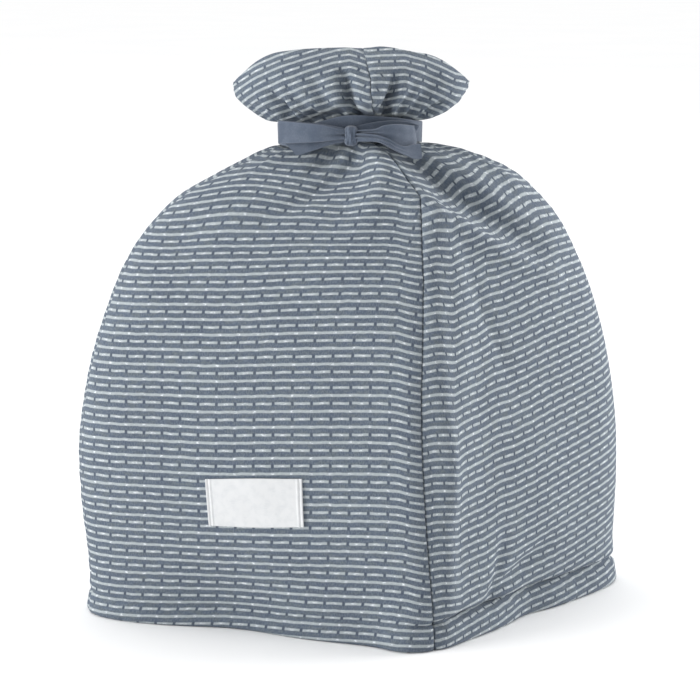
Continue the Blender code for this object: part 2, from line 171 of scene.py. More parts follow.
def smooth(stations: Array, values: Array, at: Array) -> Array:
    """A smooth curve through values at stations.

    Args:
        stations: Where the values stand, rising.
        values: One value for each station.
        at: The places to read.

    Returns:
        The curve's values at those places.
    """
    stations = np.asarray(stations, float)
    values = np.asarray(values, float)
    slopes = np.gradient(values, stations)
    left = np.clip(np.searchsorted(stations, at, side="right") - 1, 0, len(stations) - 2)
    span = stations[left + 1] - stations[left]
    part = (at - stations[left]) / span
    rise = part * part * (3.0 - 2.0 * part)
    start_pull = part * (1.0 - part) ** 2
    end_pull = part * part * (1.0 - part)
    return (
        values[left] * (1.0 - rise)
        + values[left + 1] * rise
        + span * (slopes[left] * start_pull - slopes[left + 1] * end_pull)
    )


def lengths_along(points: Array, axis: int) -> Array:
    """The running length of a grid of points along one axis.

    Args:
        points: A grid of points, rows by columns by 3.
        axis: 0 to run up the columns, 1 to run along the rows.

    Returns:
        The length from the first point, in the shape of the grid.
    """
    steps = np.linalg.norm(np.diff(points, axis=axis), axis=-1)
    start = np.zeros_like(np.take(steps, [0], axis=axis))
    return np.concatenate([start, np.cumsum(steps, axis=axis)], axis=axis)


@dataclass
class MeshParts:
    """Points, faces and cloth coordinates gathered up for one mesh."""

    points: list[Array] = field(default_factory=list)
    faces: list[tuple[int, ...]] = field(default_factory=list)
    lay: list[Array] = field(default_factory=list)
    count: int = 0

    def add(self, points: Array, faces: list[tuple[int, ...]], lay: Array) -> None:
        """Adds one closed shape.

        Args:
            points: Its points, in mm.
            faces: Its faces, counted from its own first point.
            lay: For each point, where it lies in its finish's pattern.
        """
        self.points.append(np.asarray(points, float).reshape(-1, 3))
        self.lay.append(np.asarray(lay, float).reshape(-1, 3))
        self.faces += [tuple(corner + self.count for corner in face) for face in faces]
        self.count += len(self.points[-1])

    def build(self, name: str) -> bpy.types.Object:
        """Makes the mesh object.

        Args:
            name: The piece's name.

        Returns:
            The object, linked to the scene, with its lay as the point attribute "lay".
        """
        mesh = bpy.data.meshes.new(name)
        mesh.from_pydata(np.concatenate(self.points) * MM, [], self.faces)
        mesh.validate()
        mesh.shade_smooth()
        mesh.set_sharp_from_angle(angle=SHARP_EDGE)
        lay = mesh.attributes.new("lay", "FLOAT_VECTOR", "POINT")
        lay.data.foreach_set("vector", np.concatenate(self.lay).astype(np.float32).ravel())
        return placed_object(name, mesh)


def placed_object(name: str, data: bpy.types.ID) -> bpy.types.Object:
    """A new object of this name in the scene.

    Args:
        name: The object's name.
        data: Its mesh, light or camera.

    Returns:
        The object.
    """
    made = bpy.data.objects.new(name, data)
    bpy.context.collection.objects.link(made)
    return made


def ring_faces(
    rows: int, sides: int, closed: bool = False, capped: bool = False
) -> list[tuple[int, ...]]:
    """Faces of a tube of rings.

    Args:
        rows: The number of rings.
        sides: The number of points on each ring.
        closed: Whether the last ring joins the first.
        capped: Whether the first and the last ring are filled.

    Returns:
        The faces, with the two caps last.
    """
    faces = []
    for row in range(rows if closed else rows - 1):
        here, after = row * sides, (row + 1) % rows * sides
        for side in range(sides):
            beside = (side + 1) % sides
            faces.append((here + side, here + beside, after + beside, after + side))
    if capped:
        faces.append(tuple(reversed(range(sides))))
        faces.append(tuple((rows - 1) * sides + side for side in range(sides)))
    return faces


def closed_sheet(name: str, outer: Array, inner: Array, lay: Array) -> bpy.types.Object:
    """Joins a sheet's two faces into one closed piece.

    Args:
        name: The piece's name.
        outer: The outer face's points, rows by columns.
        inner: The inner face's points, in the same order.
        lay: Where each point lies in the finish's pattern, the same for both faces.

    Returns:
        The piece.
    """
    rows, columns = outer.shape[:2]
    faces = ring_faces(rows, 2 * columns)
    far, top = 2 * columns - 1, (rows - 1) * 2 * columns
    for col in range(columns - 1):
        faces.append((col + 1, col, far - col, far - col - 1))
        faces.append((top + col, top + col + 1, top + far - col - 1, top + far - col))
    parts = MeshParts()
    ring, ring_lay = (np.concatenate([a, b[:, ::-1]], axis=1) for a, b in ((outer, inner), (lay, lay)))
    parts.add(ring, faces, ring_lay)
    return parts.build(name)


@dataclass(frozen=True)
class CosyForm:
    """The shape that the cloth takes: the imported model's, with some folds deeper and more of them."""

    axis_turn: float = math.radians(17.0)
    side_corner_rise: float = 0.231
    side_corner_out: float = 1.165
    near_corner_out: float = 1.03
    softness: tuple[float, float] = (56.0, 13.0)
    wall: float = 4.0
    frill_wall: float = 2.6
    wall_eases_from: float = 225.0
    wall_eases_over: float = 35.0
    throat_radius: float = 1.6
    closing: float = 3.8
    seam_dip: float = 0.9
    seam_dip_width: float = 3.5
    billow: float = 3.5
    billow_top: float = 200.0
    tie_height: float = 245.5
    tie_lift: float = 6.0
    tie_lift_turn: float = math.radians(272.0)
    tie_lift_left: float = math.radians(28.0)
    tie_lift_right: float = math.radians(62.0)
    tie_lift_span: float = 14.0
    tie_width: float = 10.8
    neck_turns: tuple[float, ...] = tuple(math.radians(t) for t in (190, 291, 370, 471, 550))
    frill_twist: float = math.radians(-11.0)
    frill_twist_span: float = 14.0
    neck_section: int = 14
    fold_samples: int = 44
    fold_end: float = 0.12
    pleat_span: float = 20.0
    pleat_under_tie: float = 0.6
    pleat_rise: float = 6.0
    # The frill's reach from the tie up, and the height of its rim from the middle outwards
    flare_parts: tuple[float, ...] = (0.0, 0.04, 0.12, 0.3, 0.5, 0.7, 0.9, 1.0)
    flare_reaches: tuple[float, ...] = (34.5, 40.5, 45.0, 51.3, 56.5, 59.2, 60.6, 60.8)
    rim_reaches: tuple[float, ...] = (0.0, 31.0, 40.0, 48.0, 54.0, 58.0, 61.0)
    rim_heights: tuple[float, ...] = (288.5, 288.3, 286.2, 282.2, 278.0, 275.0, 271.8)
    rim_waves: tuple[Pleat, ...] = (Pleat(3, 0.9, 0.4), Pleat(7, 0.0, 0.6))
    back_eases: float = 3.0  # how soon the rim is at its lower height, going round to the back
    rim_lift: tuple[float, float, float] = (1.2, 18.0, 9.0)  # how much, where and how wide
    back_rim_drop: float = 3.6
    # How far the near seam wanders from its place, by height, and how far round that is felt
    walk_heights: tuple[float, ...] = (0, 180, 197, 215.5, 223.7, 230.9, 236.6, 252.5, 261, 267, 275, 288)
    walks: tuple[float, ...] = (
        0.0, -0.005, -0.015, -0.024, -0.069, -0.097, -0.11, 0.05, 0.035, 0.007, 0.0, -0.045,
    )
    walk_reach: float = 0.8
    # The height of the hem's stitch line and how deep it draws in, by the place round
    hem_places: tuple[float, ...] = (0.0, 0.9, 1.1, 1.9, 2.1, 4.0)
    hem_stitch_ups: tuple[float, ...] = (11.0, 11.5, 14.5, 14.0, 11.0, 11.0)
    hem_draws: tuple[float, ...] = (0.9, 1.2, 5.0, 3.2, 0.9, 0.9)
    sections: tuple[Section, ...] = rows_of(
        Section,
        (0.0, 140.5, 96.5, 37.3, 1.5, 0.0), (12.0, 139.0, 96.0, 37.0, 1.8, 0.0),
        (30.0, 138.5, 96.5, 36.5, 1.2, 0.0), (60.0, 140.8, 95.5, 35.5, 0.0, 0.0),
        (90.0, 140.8, 91.5, 34.5, -0.8, 0.0), (120.0, 136.5, 87.5, 33.5, -0.6, 0.0),
        (150.0, 129.2, 81.5, 33.0, -0.2, 0.05), (180.0, 117.5, 71.0, 32.5, 0.0, 0.15),
        (200.0, 106.0, 59.5, 32.0, 1.0, 0.3), (213.0, 93.8, 49.0, 31.5, 2.2, 0.45),
        (224.0, 78.0, 39.5, 29.0, 5.5, 0.65), (232.0, 61.0, 32.0, 23.5, 5.5, 0.85),
        (236.2, 50.5, 27.5, 18.0, 3.5, 1.0), (238.6, 42.5, 25.0, 15.0, 1.0, 1.0),
        (239.9, 34.5, 24.0, 14.0, -2.5, 1.0), (251.2, 34.5, 24.0, 14.0, -2.5, 1.0),
        (253.0, 41.0, 25.4, 14.0, -3.5, 1.0), (258.0, 51.0, 28.6, 14.0, -3.0, 1.0),
        (264.0, 56.5, 30.4, 14.0, -2.5, 1.0), (270.0, 60.0, 30.8, 14.0, -2.5, 1.0),
        (277.0, 57.0, 29.2, 14.0, -2.5, 1.0), (283.0, 46.5, 24.0, 14.0, -2.0, 1.0),
        (287.0, 40.0, 16.0, 14.0, -2.0, 1.0), (288.8, 36.5, 12.4, 14.0, -2.0, 1.0),
    )
    folds: tuple[Fold, ...] = rows_of(
        Fold,
        # Under the bow: a hollow, the edge and the crest of the lobe beside it, and its deep valley
        (0.76, 242, 0.55, 232, 5.0, 3.6), (0.58, 234, 0.44, 209, 7.0, 3.0),
        (0.80, 240, 0.50, 206, 5.0, 6.2), (0.90, 252, 0.80, 208, 9.5, -6.0),
        (0.93, 244, 0.93, 214, 13.0, -4.0), (0.95, 230, 1.07, 196, 7.5, -3.4),
        (0.72, 252, 0.56, 230, 4.5, 3.0), (0.28, 214, 0.22, 190, 10.0, 2.2),
        (0.86, 243, 1.56, 189, 9.5, 9.0), (0.96, 250, 1.14, 219, 6.0, 6.0),
        (1.12, 236, 1.66, 194, 7.0, -2.4), (0.95, 217, 1.62, 174, 7.0, -5.4),
        (1.17, 192, 1.36, 120, 4.5, 1.5),
        # Beside the near seam: its groove and the soft ridge to the right of it
        (1.03, 196, 1.025, 8, 6.5, 1.8), (1.01, 206, 1.08, 74, 6.5, -3.9),
        (1.12, 204, 1.13, 70, 12.0, -3.4), (1.075, 110, 1.055, 14, 6.5, -3.0),
        # Waves of the hem
        (1.30, 8, 1.95, 26, 6.0, 1.0), (1.20, 16, 1.48, 36, 5.0, 3.4), (1.24, 14, 1.29, 48, 4.0, 2.2),
        (0.50, -22, 0.48, 20, 27.0, 5.8), (0.92, -18, 0.92, 18, 12.0, -5.0),
        (1.42, -20, 1.40, 20, 16.0, 3.5),
        # The back and the left
        (2.00, 238, 1.85, 224, 9.0, -1.2), (2.35, 232, 2.30, 190, 11.0, 3.0),
        (2.75, 234, 2.80, 196, 12.0, 3.2), (3.35, 234, 3.45, 196, 11.0, 3.4),
        (2.30, 60, 2.75, 22, 9.0, 1.6), (2.45, -20, 2.45, 20, 26.0, 6.0), (2.93, -18, 2.93, 18, 14.0, -3.0),
        (3.25, 22, 3.60, 48, 9.0, 1.8), (3.55, -20, 3.55, 20, 24.0, 5.0),
        # The frill: its two folds with the pleat between them, tucks, and hollows
        (0.925, 248, 0.87, 277, 2.8, 10.0), (1.175, 248, 1.165, 275, 2.4, 8.5),
        (1.03, 250, 1.02, 280, 5.0, -2.6), (0.80, 249, 0.72, 274, 3.2, 3.2),
        (0.67, 249, 0.58, 270, 2.8, 3.0), (0.54, 249, 0.45, 268, 2.8, 3.0),
        (1.30, 249, 1.31, 273, 3.0, 3.2), (1.42, 249, 1.45, 268, 2.8, 3.0),
        (1.45, 258, 1.43, 283, 8.0, 3.0), (0.45, 252, 0.40, 262, 2.6, 1.8),
        (2.25, 254, 2.20, 270, 3.4, 4.5), (2.70, 254, 2.78, 272, 3.4, 6.0),
        (3.30, 254, 3.35, 268, 3.2, 4.0), (1.60, 252, 1.66, 264, 3.0, 2.4),
    )
    # Fine folds, which only this file has
    creases: tuple[Fold, ...] = rows_of(
        Fold,
        (0.50, 252, 0.48, 260, 1.6, 1.6), (0.565, 251, 0.55, 257, 1.5, 1.5),
        (0.64, 251, 0.62, 256, 1.6, 1.5), (1.32, 252, 1.34, 262, 2.0, 1.4),
        (0.98, 221, 1.04, 213, 2.6, 1.1), (1.06, 216, 1.12, 205, 2.6, 1.0),
        (0.93, 214, 0.98, 203, 3.0, -0.9), (0.66, 214, 0.84, 208, 3.5, 1.0),
        (0.38, 196, 0.62, 188, 4.0, 0.9), (1.40, 176, 1.70, 160, 4.5, 0.8),
        (1.36, 130, 1.60, 112, 5.0, 0.7), (0.62, 30, 0.80, 40, 7.0, 1.0),
    )
    pleats: tuple[Pleat, ...] = (Pleat(11, 0.4, 0.55), Pleat(17, 1.9, 0.4))
    gathers: tuple[Pleat, ...] = (Pleat(27, 0.7, 0.32), Pleat(39, 2.3, 0.24), Pleat(58, 0.2, 0.12))
    gather_sway: tuple[Pleat, ...] = (Pleat(3, 1.1, 0.55), Pleat(5, 0.4, 0.3))
    gather_span: float = 8.0
    frill_gather: float = 1.5  # how much deeper the gathers are above the tie
    frill_gather_span: float = 14.0
    # The hand of the cloth: how its waves run across both sides, and how deep they are
    run_of_x: float = 0.94
    run_of_y: float = 0.5
    broad_hand: float = 0.30
    middling_hand: float = 0.16
    fine_hand: float = 0.10
    hand_eases_over: float = 20.0
    # The hem's stitched line, the turned edge below it and the puckers between its stitches
    stitch_groove: float = 1.6
    hem_rise: float = 0.35
    pucker_depth: float = 0.28
    pucker_length: float = 8.6
    pucker_place: float = 0.8
    pucker_span: float = 5.0
    # The short pulls of the thread along each seam
    pull_depth: float = 0.22
    pull_length: float = 11.0
    pull_span: float = 8.0
    height_samples: int = 600
    width_samples: int = 41

    @property
    def stations(self) -> Array:
        """The length along the cloth from the hem to each section.

        Returns:
            The lengths, rising.
        """
        pairs = zip(self.sections, self.sections[1:])
        steps = [math.hypot(b.height - a.height, b.side_reach - a.side_reach) for a, b in pairs]
        return np.concatenate([[0.0], np.cumsum(steps)])

    @property
    def length(self) -> float:
        """The length of the cloth from the hem to the frill's edge."""
        return float(self.stations[-1])

    def column(self, name: str, along: Array) -> Array:
        """One measure of the sections, read smoothly at lengths along the cloth."""
        return smooth(self.stations, [getattr(s, name) for s in self.sections], along)

    def station_at(self, height: Array) -> Array:
        """The length along the cloth at which it is this high."""
        lengths = np.linspace(0.0, self.length, self.height_samples)
        return np.interp(height, self.column("height", lengths), lengths)

    def placed(self, along_axis: Array, across_axis: Array, height: Array) -> Array:
        """Points in X, Y and Z from places along and across the long axis.

        Args:
            along_axis: How far along the long axis.
            across_axis: How far across it, to the back.
            height: The height.

        Returns:
            The points.
        """
        cos, sin = math.cos(self.axis_turn), math.sin(self.axis_turn)
        axes = (along_axis * cos - across_axis * sin, along_axis * sin + across_axis * cos, height)
        return np.stack(np.broadcast_arrays(*axes), axis=-1)

    def along_axes(self, points: Array) -> tuple[Array, Array]:
        """How far points lie along and across the long axis.

        Args:
            points: Points in X, Y and Z.

        Returns:
            The two distances.
        """
        cos, sin = math.cos(self.axis_turn), math.sin(self.axis_turn)
        x, y = points[..., 0], points[..., 1]
        return x * cos + y * sin, y * cos - x * sin

    def four_sided(self, around: Array, along: Array) -> Array:
        """The soft-cornered four-sided section.

        Args:
            around: How far round, in panels.
            along: The length up the cloth.

        Returns:
            Points along and across the long axis.
        """
        side = self.column("side_reach", along)
        near_across = self.column("near_across", along)
        near_along = self.column("near_along", along)
        side_out = side * self.side_corner_out
        right = np.stack([side_out, side_out * self.side_corner_rise], axis=-1)
        near = np.stack([near_along, -near_across], axis=-1) * self.near_corner_out
        corners = np.stack([-right, near, right, -near], axis=0)
        scale = side / self.sections[0].side_reach
        nearest = np.round(around).astype(int)
        points = np.empty(around.shape + (2,))
        for corner in range(PANELS + 1):
            here = nearest == corner
            if not here.any():
                continue
            at = corners[corner % PANELS][here]
            before = corners[(corner - 1) % PANELS][here]
            after = corners[(corner + 1) % PANELS][here]
            offset = around[here] - corner
            behind, ahead = (np.linalg.norm(end - at, axis=-1) for end in (before, after))
            distance = (offset * np.where(offset < 0, behind, ahead))[:, None]
            soft = (self.softness[corner % 2] * scale[here])[:, None]
            inward, outward = unit(at - before), unit(after - at)
            pull = outward * (soft + distance) ** 2 - inward * (soft - distance) ** 2
            turned = at + pull / (4.0 * soft)
            straight = at + np.where(distance < 0, inward, outward) * distance
            points[here] = np.where(np.abs(distance) < soft, turned, straight)
        return points

    def turn_at(self, around: Array, height: Array) -> Array:
        """The turn from the long axis of places round the neck and the frill."""
        twist = self.frill_twist * ease((height - self.tie_height) / self.frill_twist_span)
        return np.interp(around, range(PANELS + 1), self.neck_turns) + twist

    def walked(self, around: Array, along: Array) -> Array:
        """Places round the cosy, moved along with the near seam."""
        walk = np.interp(self.column("height", along), self.walk_heights, self.walks)
        return around + walk * ease(1.0 - np.abs(around - 1.0) / self.walk_reach)

    def hem_stitch_up(self, around: Array) -> Array:
        """The length up the cloth of the hem's stitch line."""
        return np.interp(around, self.hem_places, self.hem_stitch_ups)

    def tie_lift_at(self, turn: Array) -> Array:
        """How much the tie is raised at a turn round the neck.

        Args:
            turn: The turn from the long axis.

        Returns:
            The rise.
        """
        apart = (turn - self.tie_lift_turn + math.pi) % (2 * math.pi) - math.pi
        spread = np.where(apart < 0, self.tie_lift_left, self.tie_lift_right)
        return self.tie_lift * np.exp(-((apart / spread) ** 2))

    def elliptic(self, around: Array, along: Array) -> Array:
        """Points of the elliptic section, along and across the long axis.

        Args:
            around: How far round, in panels.
            along: The length up the cloth.

        Returns:
            Points along and across the long axis.
        """
        turn = self.turn_at(around, self.column("height", along))
        long_half = self.column("side_reach", along)
        short_half = self.column("near_across", along) / abs(math.sin(self.neck_turns[1]))
        return np.stack([long_half * np.cos(turn), short_half * np.sin(turn)], axis=-1)

    def frill(self, turn: Array, height: Array, along: Array) -> tuple[Array, Array, Array]:
        """The frill, a flattened bell that ends in an arched rim from side to side.

        Args:
            turn: The turn from the long axis.
            height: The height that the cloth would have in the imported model.
            along: The length up the cloth.

        Returns:
            The places along and across the long axis, and the heights.
        """
        base = self.sections[self.neck_section + 1].height
        part = (height - base) / (self.sections[-1].height - base)
        reach = smooth(self.flare_parts, self.flare_reaches, part)
        half = self.column("near_across", along) / abs(math.sin(self.neck_turns[1]))
        rim_at = np.abs(self.flare_reaches[-1] * np.cos(turn))
        rim = smooth(self.rim_reaches, self.rim_heights, rim_at)
        for wave in self.rim_waves:
            rim = rim + wave.depth * np.sin(wave.waves * turn + wave.shift)
        lift, place, width = self.rim_lift
        behind = ease(self.back_eases * np.sin(turn))
        rim = rim + lift * bell(reach * np.cos(turn) - place, width) - self.back_rim_drop * behind
        return reach * np.cos(turn), half * np.sin(turn), base + (rim - base) * part

    def plain_surface(self, around: Array, along: Array) -> Array:
        """Points of the cloth's outer face before its folds.

        Args:
            around: How far round, in panels.
            along: The length up the cloth.

        Returns:
            The points in X, Y and Z.
        """
        around, along = np.broadcast_arrays(np.asarray(around, float), np.asarray(along, float))
        roundness = np.clip(self.column("roundness", along), 0.0, 1.0)[..., None]
        square, oval = self.four_sided(around, along), self.elliptic(around, along)
        flat = square * (1.0 - roundness) + oval * roundness
        height = self.column("height", along)
        belly = np.sin(np.pi * np.clip(height / self.billow_top, 0.0, 1.0))
        middle = np.sin(np.pi * (around % 1.0)) ** 2
        flat = flat + unit(flat) * (self.billow * belly * middle)[..., None]
        turn = self.turn_at(around, height)
        lift = self.tie_lift_at(turn) * bell(height - self.tie_height, self.tie_lift_span)
        above = height > self.sections[self.neck_section + 1].height
        right, back, up = self.frill(turn, height, along)
        right, back = np.where(above, right, flat[..., 0]), np.where(above, back, flat[..., 1])
        up = np.where(above, up, height) + lift
        return self.placed(right + self.column("shift", along), back, up)

    def normals_at(self, around: Array, along: Array) -> Array:
        """Outward normals of the plain surface.

        Args:
            around: How far round, in panels.
            along: The length up the cloth.

        Returns:
            A normal of length 1 at each place.
        """
        step_round, step_up = 0.01, 0.5
        low = np.clip(along - step_up, 0.0, self.length)
        high = np.clip(along + step_up, 0.0, self.length)
        after = self.plain_surface((around + step_round) % PANELS, along)
        before = self.plain_surface((around - step_round) % PANELS, along)
        upward = self.plain_surface(around % PANELS, high) - self.plain_surface(around % PANELS, low)
        return unit(np.cross(after - before, upward))

    def fold_depth(self, points: Array) -> Array:
        """How far the folds and creases push each point in.

        Args:
            points: Points of the plain surface.

        Returns:
            The depth at each point.
        """
        depth = np.zeros(points.shape[:-1])
        for fold in self.folds + self.creases:
            part = np.linspace(0.0, 1.0, self.fold_samples)
            around = fold.start_round + (fold.end_round - fold.start_round) * part
            height = fold.start_height + (fold.end_height - fold.start_height) * part
            line = self.plain_surface(around % PANELS, self.station_at(height))
            near = np.linalg.norm(points - line.mean(axis=0), axis=-1)
            reach = np.linalg.norm(line - line.mean(axis=0), axis=-1).max() + 3 * fold.half_width
            here = near < reach
            if not here.any():
                continue
            apart = np.linalg.norm(points[here][:, None, :] - line, axis=-1)
            swell = np.sin(np.pi * (self.fold_end + (1.0 - 2.0 * self.fold_end) * part))
            depth[here] += fold.depth * (bell(apart, fold.half_width) * swell).max(axis=-1)
        return depth

    def rippled(self, pleats: tuple[Pleat, ...], turn: Array, start: float = 0.0) -> Array:
        """The sum of some waves at a turn, on top of a start."""
        return sum((pleat.depth * np.cos(pleat.waves * turn + pleat.shift) for pleat in pleats), start)

    def pleat_depth(self, around: Array, along: Array) -> Array:
        """How far the pleats and gathers at the neck push each point in.

        Args:
            around: How far round, in panels.
            along: The length up the cloth.

        Returns:
            The depth at each place.
        """
        height = self.column("height", along)
        turn = self.turn_at(around, height)
        away = np.maximum(np.abs(height - self.tie_height) - self.tie_width / 2, 0.0)
        rise = self.pleat_under_tie + ease(away / self.pleat_rise)
        broad = self.rippled(self.pleats, turn) * bell(away, self.pleat_span) * rise
        broad = np.where(away < self.pleat_span * 2, broad, 0.0)
        small = self.rippled(self.gathers, turn) * self.rippled(self.gather_sway, turn, 1.0)
        in_frill = self.frill_gather * bell(away, self.frill_gather_span)
        return broad + small * np.where(height > self.tie_height, in_frill, bell(away, self.gather_span))

    def surface_wear(self, points: Array, around: Array, along: Array, from_seam: Array) -> Array:
        """The small unevenness of sewn cloth: its hem, its seams and its hand.

        Args:
            points: Points of the plain surface.
            around: How far round, in panels.
            along: The length up the cloth.
            from_seam: The distance from the nearest seam.

        Returns:
            How far each point is pushed in.
        """
        x, y, z = points[..., 0], points[..., 1], points[..., 2]
        run = x * self.run_of_x + y * self.run_of_y
        # The lengths that places are divided by share no factor, so the unevenness doesn't repeat.
        hand = self.broad_hand * np.sin(run / 17.0 + 1.3 * np.sin(z / 29.0)) * np.sin(z / 23.0 + 0.8)
        hand = hand + self.middling_hand * np.sin(run / 8.3 + z / 13.0 + np.sin(z / 37.0))
        hand = hand + self.fine_hand * np.sin(y / 6.1 - z / 7.7 + 2.0 * np.sin(x / 31.0))
        hem = self.hem_stitch_up(around)
        drawn_in = np.interp(around, self.hem_places, self.hem_draws)
        wander = 2.2 * np.sin(run / 21.0) + 1.4 * np.sin(run / 9.0 + 1.0)
        pucker = np.sin(2 * np.pi * run / self.pucker_length + wander + along / 5.0)
        hemmed = drawn_in * bell(along - hem, self.stitch_groove) - self.hem_rise * ease((hem - along) / 2.0)
        low = bell(along - hem * self.pucker_place, self.pucker_span)
        hemmed = hemmed + self.pucker_depth * pucker * low
        pull = np.sin(2 * np.pi * along / self.pull_length + 1.6 * np.sin(along / 19.0) + around * 2.0)
        seam = self.seam_dip * bell(from_seam, self.seam_dip_width)
        pulled = self.pull_depth * pull * bell(from_seam, self.pull_span)
        return hand * ease(along / self.hand_eases_over) + hemmed + seam + pulled

    def cloth_surface(self, around: Array, along: Array, from_seam: Array) -> tuple[Array, Array]:
        """The cloth's outer face with all its folds.

        Args:
            around: How far round, in panels.
            along: The length up the cloth.
            from_seam: The distance from the nearest seam.

        Returns:
            The points and the outward normals of the plain surface there.
        """
        points = self.plain_surface(around % PANELS, along)
        normals = self.normals_at(around, along)
        inward = self.fold_depth(points) + self.pleat_depth(around % PANELS, along)
        inward = inward + self.surface_wear(points, around, along, from_seam)
        folded = points - normals * inward[..., None]
        folded[..., 2] = np.maximum(folded[..., 2], np.minimum(along, points[..., 2]))
        return folded, normals

    def inner_surface(self, points: Array, normals: Array, along: Array) -> Array:
        """The cloth's inner face, one wall inside the outer one and closed up at the neck.

        Args:
            points: Points of the outer face.
            normals: Its outward normals.
            along: The length up the cloth of each.

        Returns:
            The inner points.
        """
        height = self.column("height", along)
        thinning = ease((height - self.wall_eases_from) / self.wall_eases_over)
        wall = self.wall + (self.frill_wall - self.wall) * thinning
        inner = points - normals * wall[..., None]
        inner[..., 2] = np.maximum(inner[..., 2], np.minimum(along, points[..., 2]))
        neck = self.sections[self.neck_section]
        low, high = neck.height, self.sections[self.neck_section + 1].height
        below = ease((height - low + self.closing) / self.closing)
        above = ease((high + self.closing - height) / self.closing)
        closed = (below * above)[..., None]
        drop = self.wall * ease((low + self.wall - height) / self.wall)
        rise = self.frill_wall * ease((height - high + self.frill_wall) / self.frill_wall)
        middle = self.placed(neck.shift, 0.0, 0.0)[:2]
        throat = middle + unit(points[..., :2] - middle) * self.throat_radius
        throat = np.concatenate([throat, (points[..., 2] - drop + rise)[..., None]], axis=-1)
        return inner * (1.0 - closed) + throat * closed

    def panel_widths(self, panel: int, along: Array) -> Array:
        """A panel's width from seam to seam at lengths up the cloth.

        Args:
            panel: The panel's number.
            along: The lengths up the cloth.

        Returns:
            The width at each length.
        """
        part = panel + np.linspace(0.0, 1.0, self.width_samples)
        around, up = np.meshgrid(part, along)
        around = self.walked(around, up)
        return lengths_along(self.plain_surface(around % PANELS, up), 1)[:, -1]


@dataclass(frozen=True)
class WeaveLay:
    """How the woven pattern lies on a panel. Row lines stand at whole counts, dashed where even."""

    first_row: float
    rise: float  # how much a row climbs for each mm to the right
    row_pitch: float = 3.87
    dash_pitch: float = 9.75
    dash_spread: float = 0.0  # how the pitch grows to the right, as a warp of the cloth
    drift_up: tuple[float, ...] = (0.0, 34.0, 65.0, 96.0, 142.0, 204.0, 340.0)
    drift: tuple[float, ...] = (-4.0, 1.6, 7.0, 8.5, 4.2, -1.7, -4.0)
    # In the frill the rows are level cuts that lean back, raised by places along the long axis
    frill_row: float = 0.0
    frill_pitch: float = 3.63
    frill_lean: float = math.radians(11.0)
    frill_places: tuple[float, ...] = (-62.0, -50.0, -40.0, -10.0, -2.5, 6.5, 15.0, 25.0, 35.0, 51.0)
    frill_rises: tuple[float, ...] = (0.0, 5.7, 9.5, 19.4, 20.6, 17.3, 18.0, 18.8, 16.4, 10.5)
    faces_back: bool = False
    left_droop: float = 0.0
    left_reach: float = 6.0
    right_droop: float = 0.0
    right_reach: float = 15.0
    tugs: tuple[Tug, ...] = ()
    swells: tuple[Swell, ...] = ()
    tugged_from_right: bool = False
    tug_softness: float = 10.0

    def drawn(self, up: Array, from_seam: Array) -> Array:
        """How far the rows sit below their level places, in mm, as the tie draws them up.

        Args:
            up: Each point's length up the cloth.
            from_seam: Its distance from the near seam.

        Returns:
            The drop of each point, below 0 where the rows are drawn up.
        """
        drop = np.zeros_like(up)
        for tug in self.tugs:
            past = np.maximum(up - tug.starts, 0.0)
            rise = tug.steepness * past**2 / (past + self.tug_softness)
            drop = drop - rise * bell(from_seam - tug.from_seam, tug.reach)
        for swell in self.swells:
            beside = bell(from_seam - swell.from_seam, swell.reach)
            drop = drop + swell.drop * (beside * bell(up - swell.up, swell.up_reach))
        return drop

    def frill_rows(self, form: CosyForm, points: Array) -> Array:
        """The count of rows in the frill.

        Args:
            form: The cosy's shape.
            points: The cloth's points.

        Returns:
            The count at each point.
        """
        beside, behind = form.along_axes(points)
        behind = -behind if self.faces_back else behind
        level = points[..., 2] * math.cos(self.frill_lean) + behind * math.sin(self.frill_lean)
        rise = np.interp(beside, self.frill_places, self.frill_rises)
        return self.frill_row + (level - rise) / self.frill_pitch

    def coordinates(
        self, form: CosyForm, points: Array, in_frill: Array, left: Array, right: Array
    ) -> Array:
        """The pattern's coordinates on a grid of cloth.

        Args:
            form: The cosy's shape.
            points: The cloth's points, rows up by columns round.
            in_frill: Where the cloth is above the tie.
            left: Each point's distance from the left seam.
            right: Its distance from the right seam.

        Returns:
            For each point the count of dashes, the count of rows, and the mm to the nearest edge.
        """
        up = lengths_along(points, 0)
        run = lengths_along(points, 1)
        middle = points.shape[1] // 2
        run = run - run[:, middle : middle + 1]
        droop = self.left_droop * np.exp(-left / self.left_reach)
        droop = droop + self.right_droop * (1.0 - ease(right / self.right_reach))
        droop = droop + self.drawn(up, right if self.tugged_from_right else left)
        rows = (up + droop - self.first_row - self.rise * run) / self.row_pitch
        rows = np.where(in_frill, self.frill_rows(form, points), rows)
        shifted = run - smooth(self.drift_up, self.drift, np.clip(up, 0.0, self.drift_up[-1]))
        if self.dash_spread:
            inside = np.maximum(self.dash_pitch**2 + 4.0 * self.dash_spread * shifted, 1.0)
            dashes = (np.sqrt(inside) - self.dash_pitch) / (2.0 * self.dash_spread)
        else:
            dashes = shifted / self.dash_pitch
        return np.stack([dashes, rows, np.minimum(np.minimum(left, right), up)], axis=-1)


class Cover(NamedTuple):
    """How one colour covers another: wholly at the start, not at all at the end, and evenly past both."""

    start: float
    end: float
    share: float = 1.0


class Grain(NamedTuple):
    """Smooth noise on the cloth, and how much closer it is drawn along and up it."""

    scale: float
    detail: float = 2.0
    along: float = 1.0
    up: float = 1.0


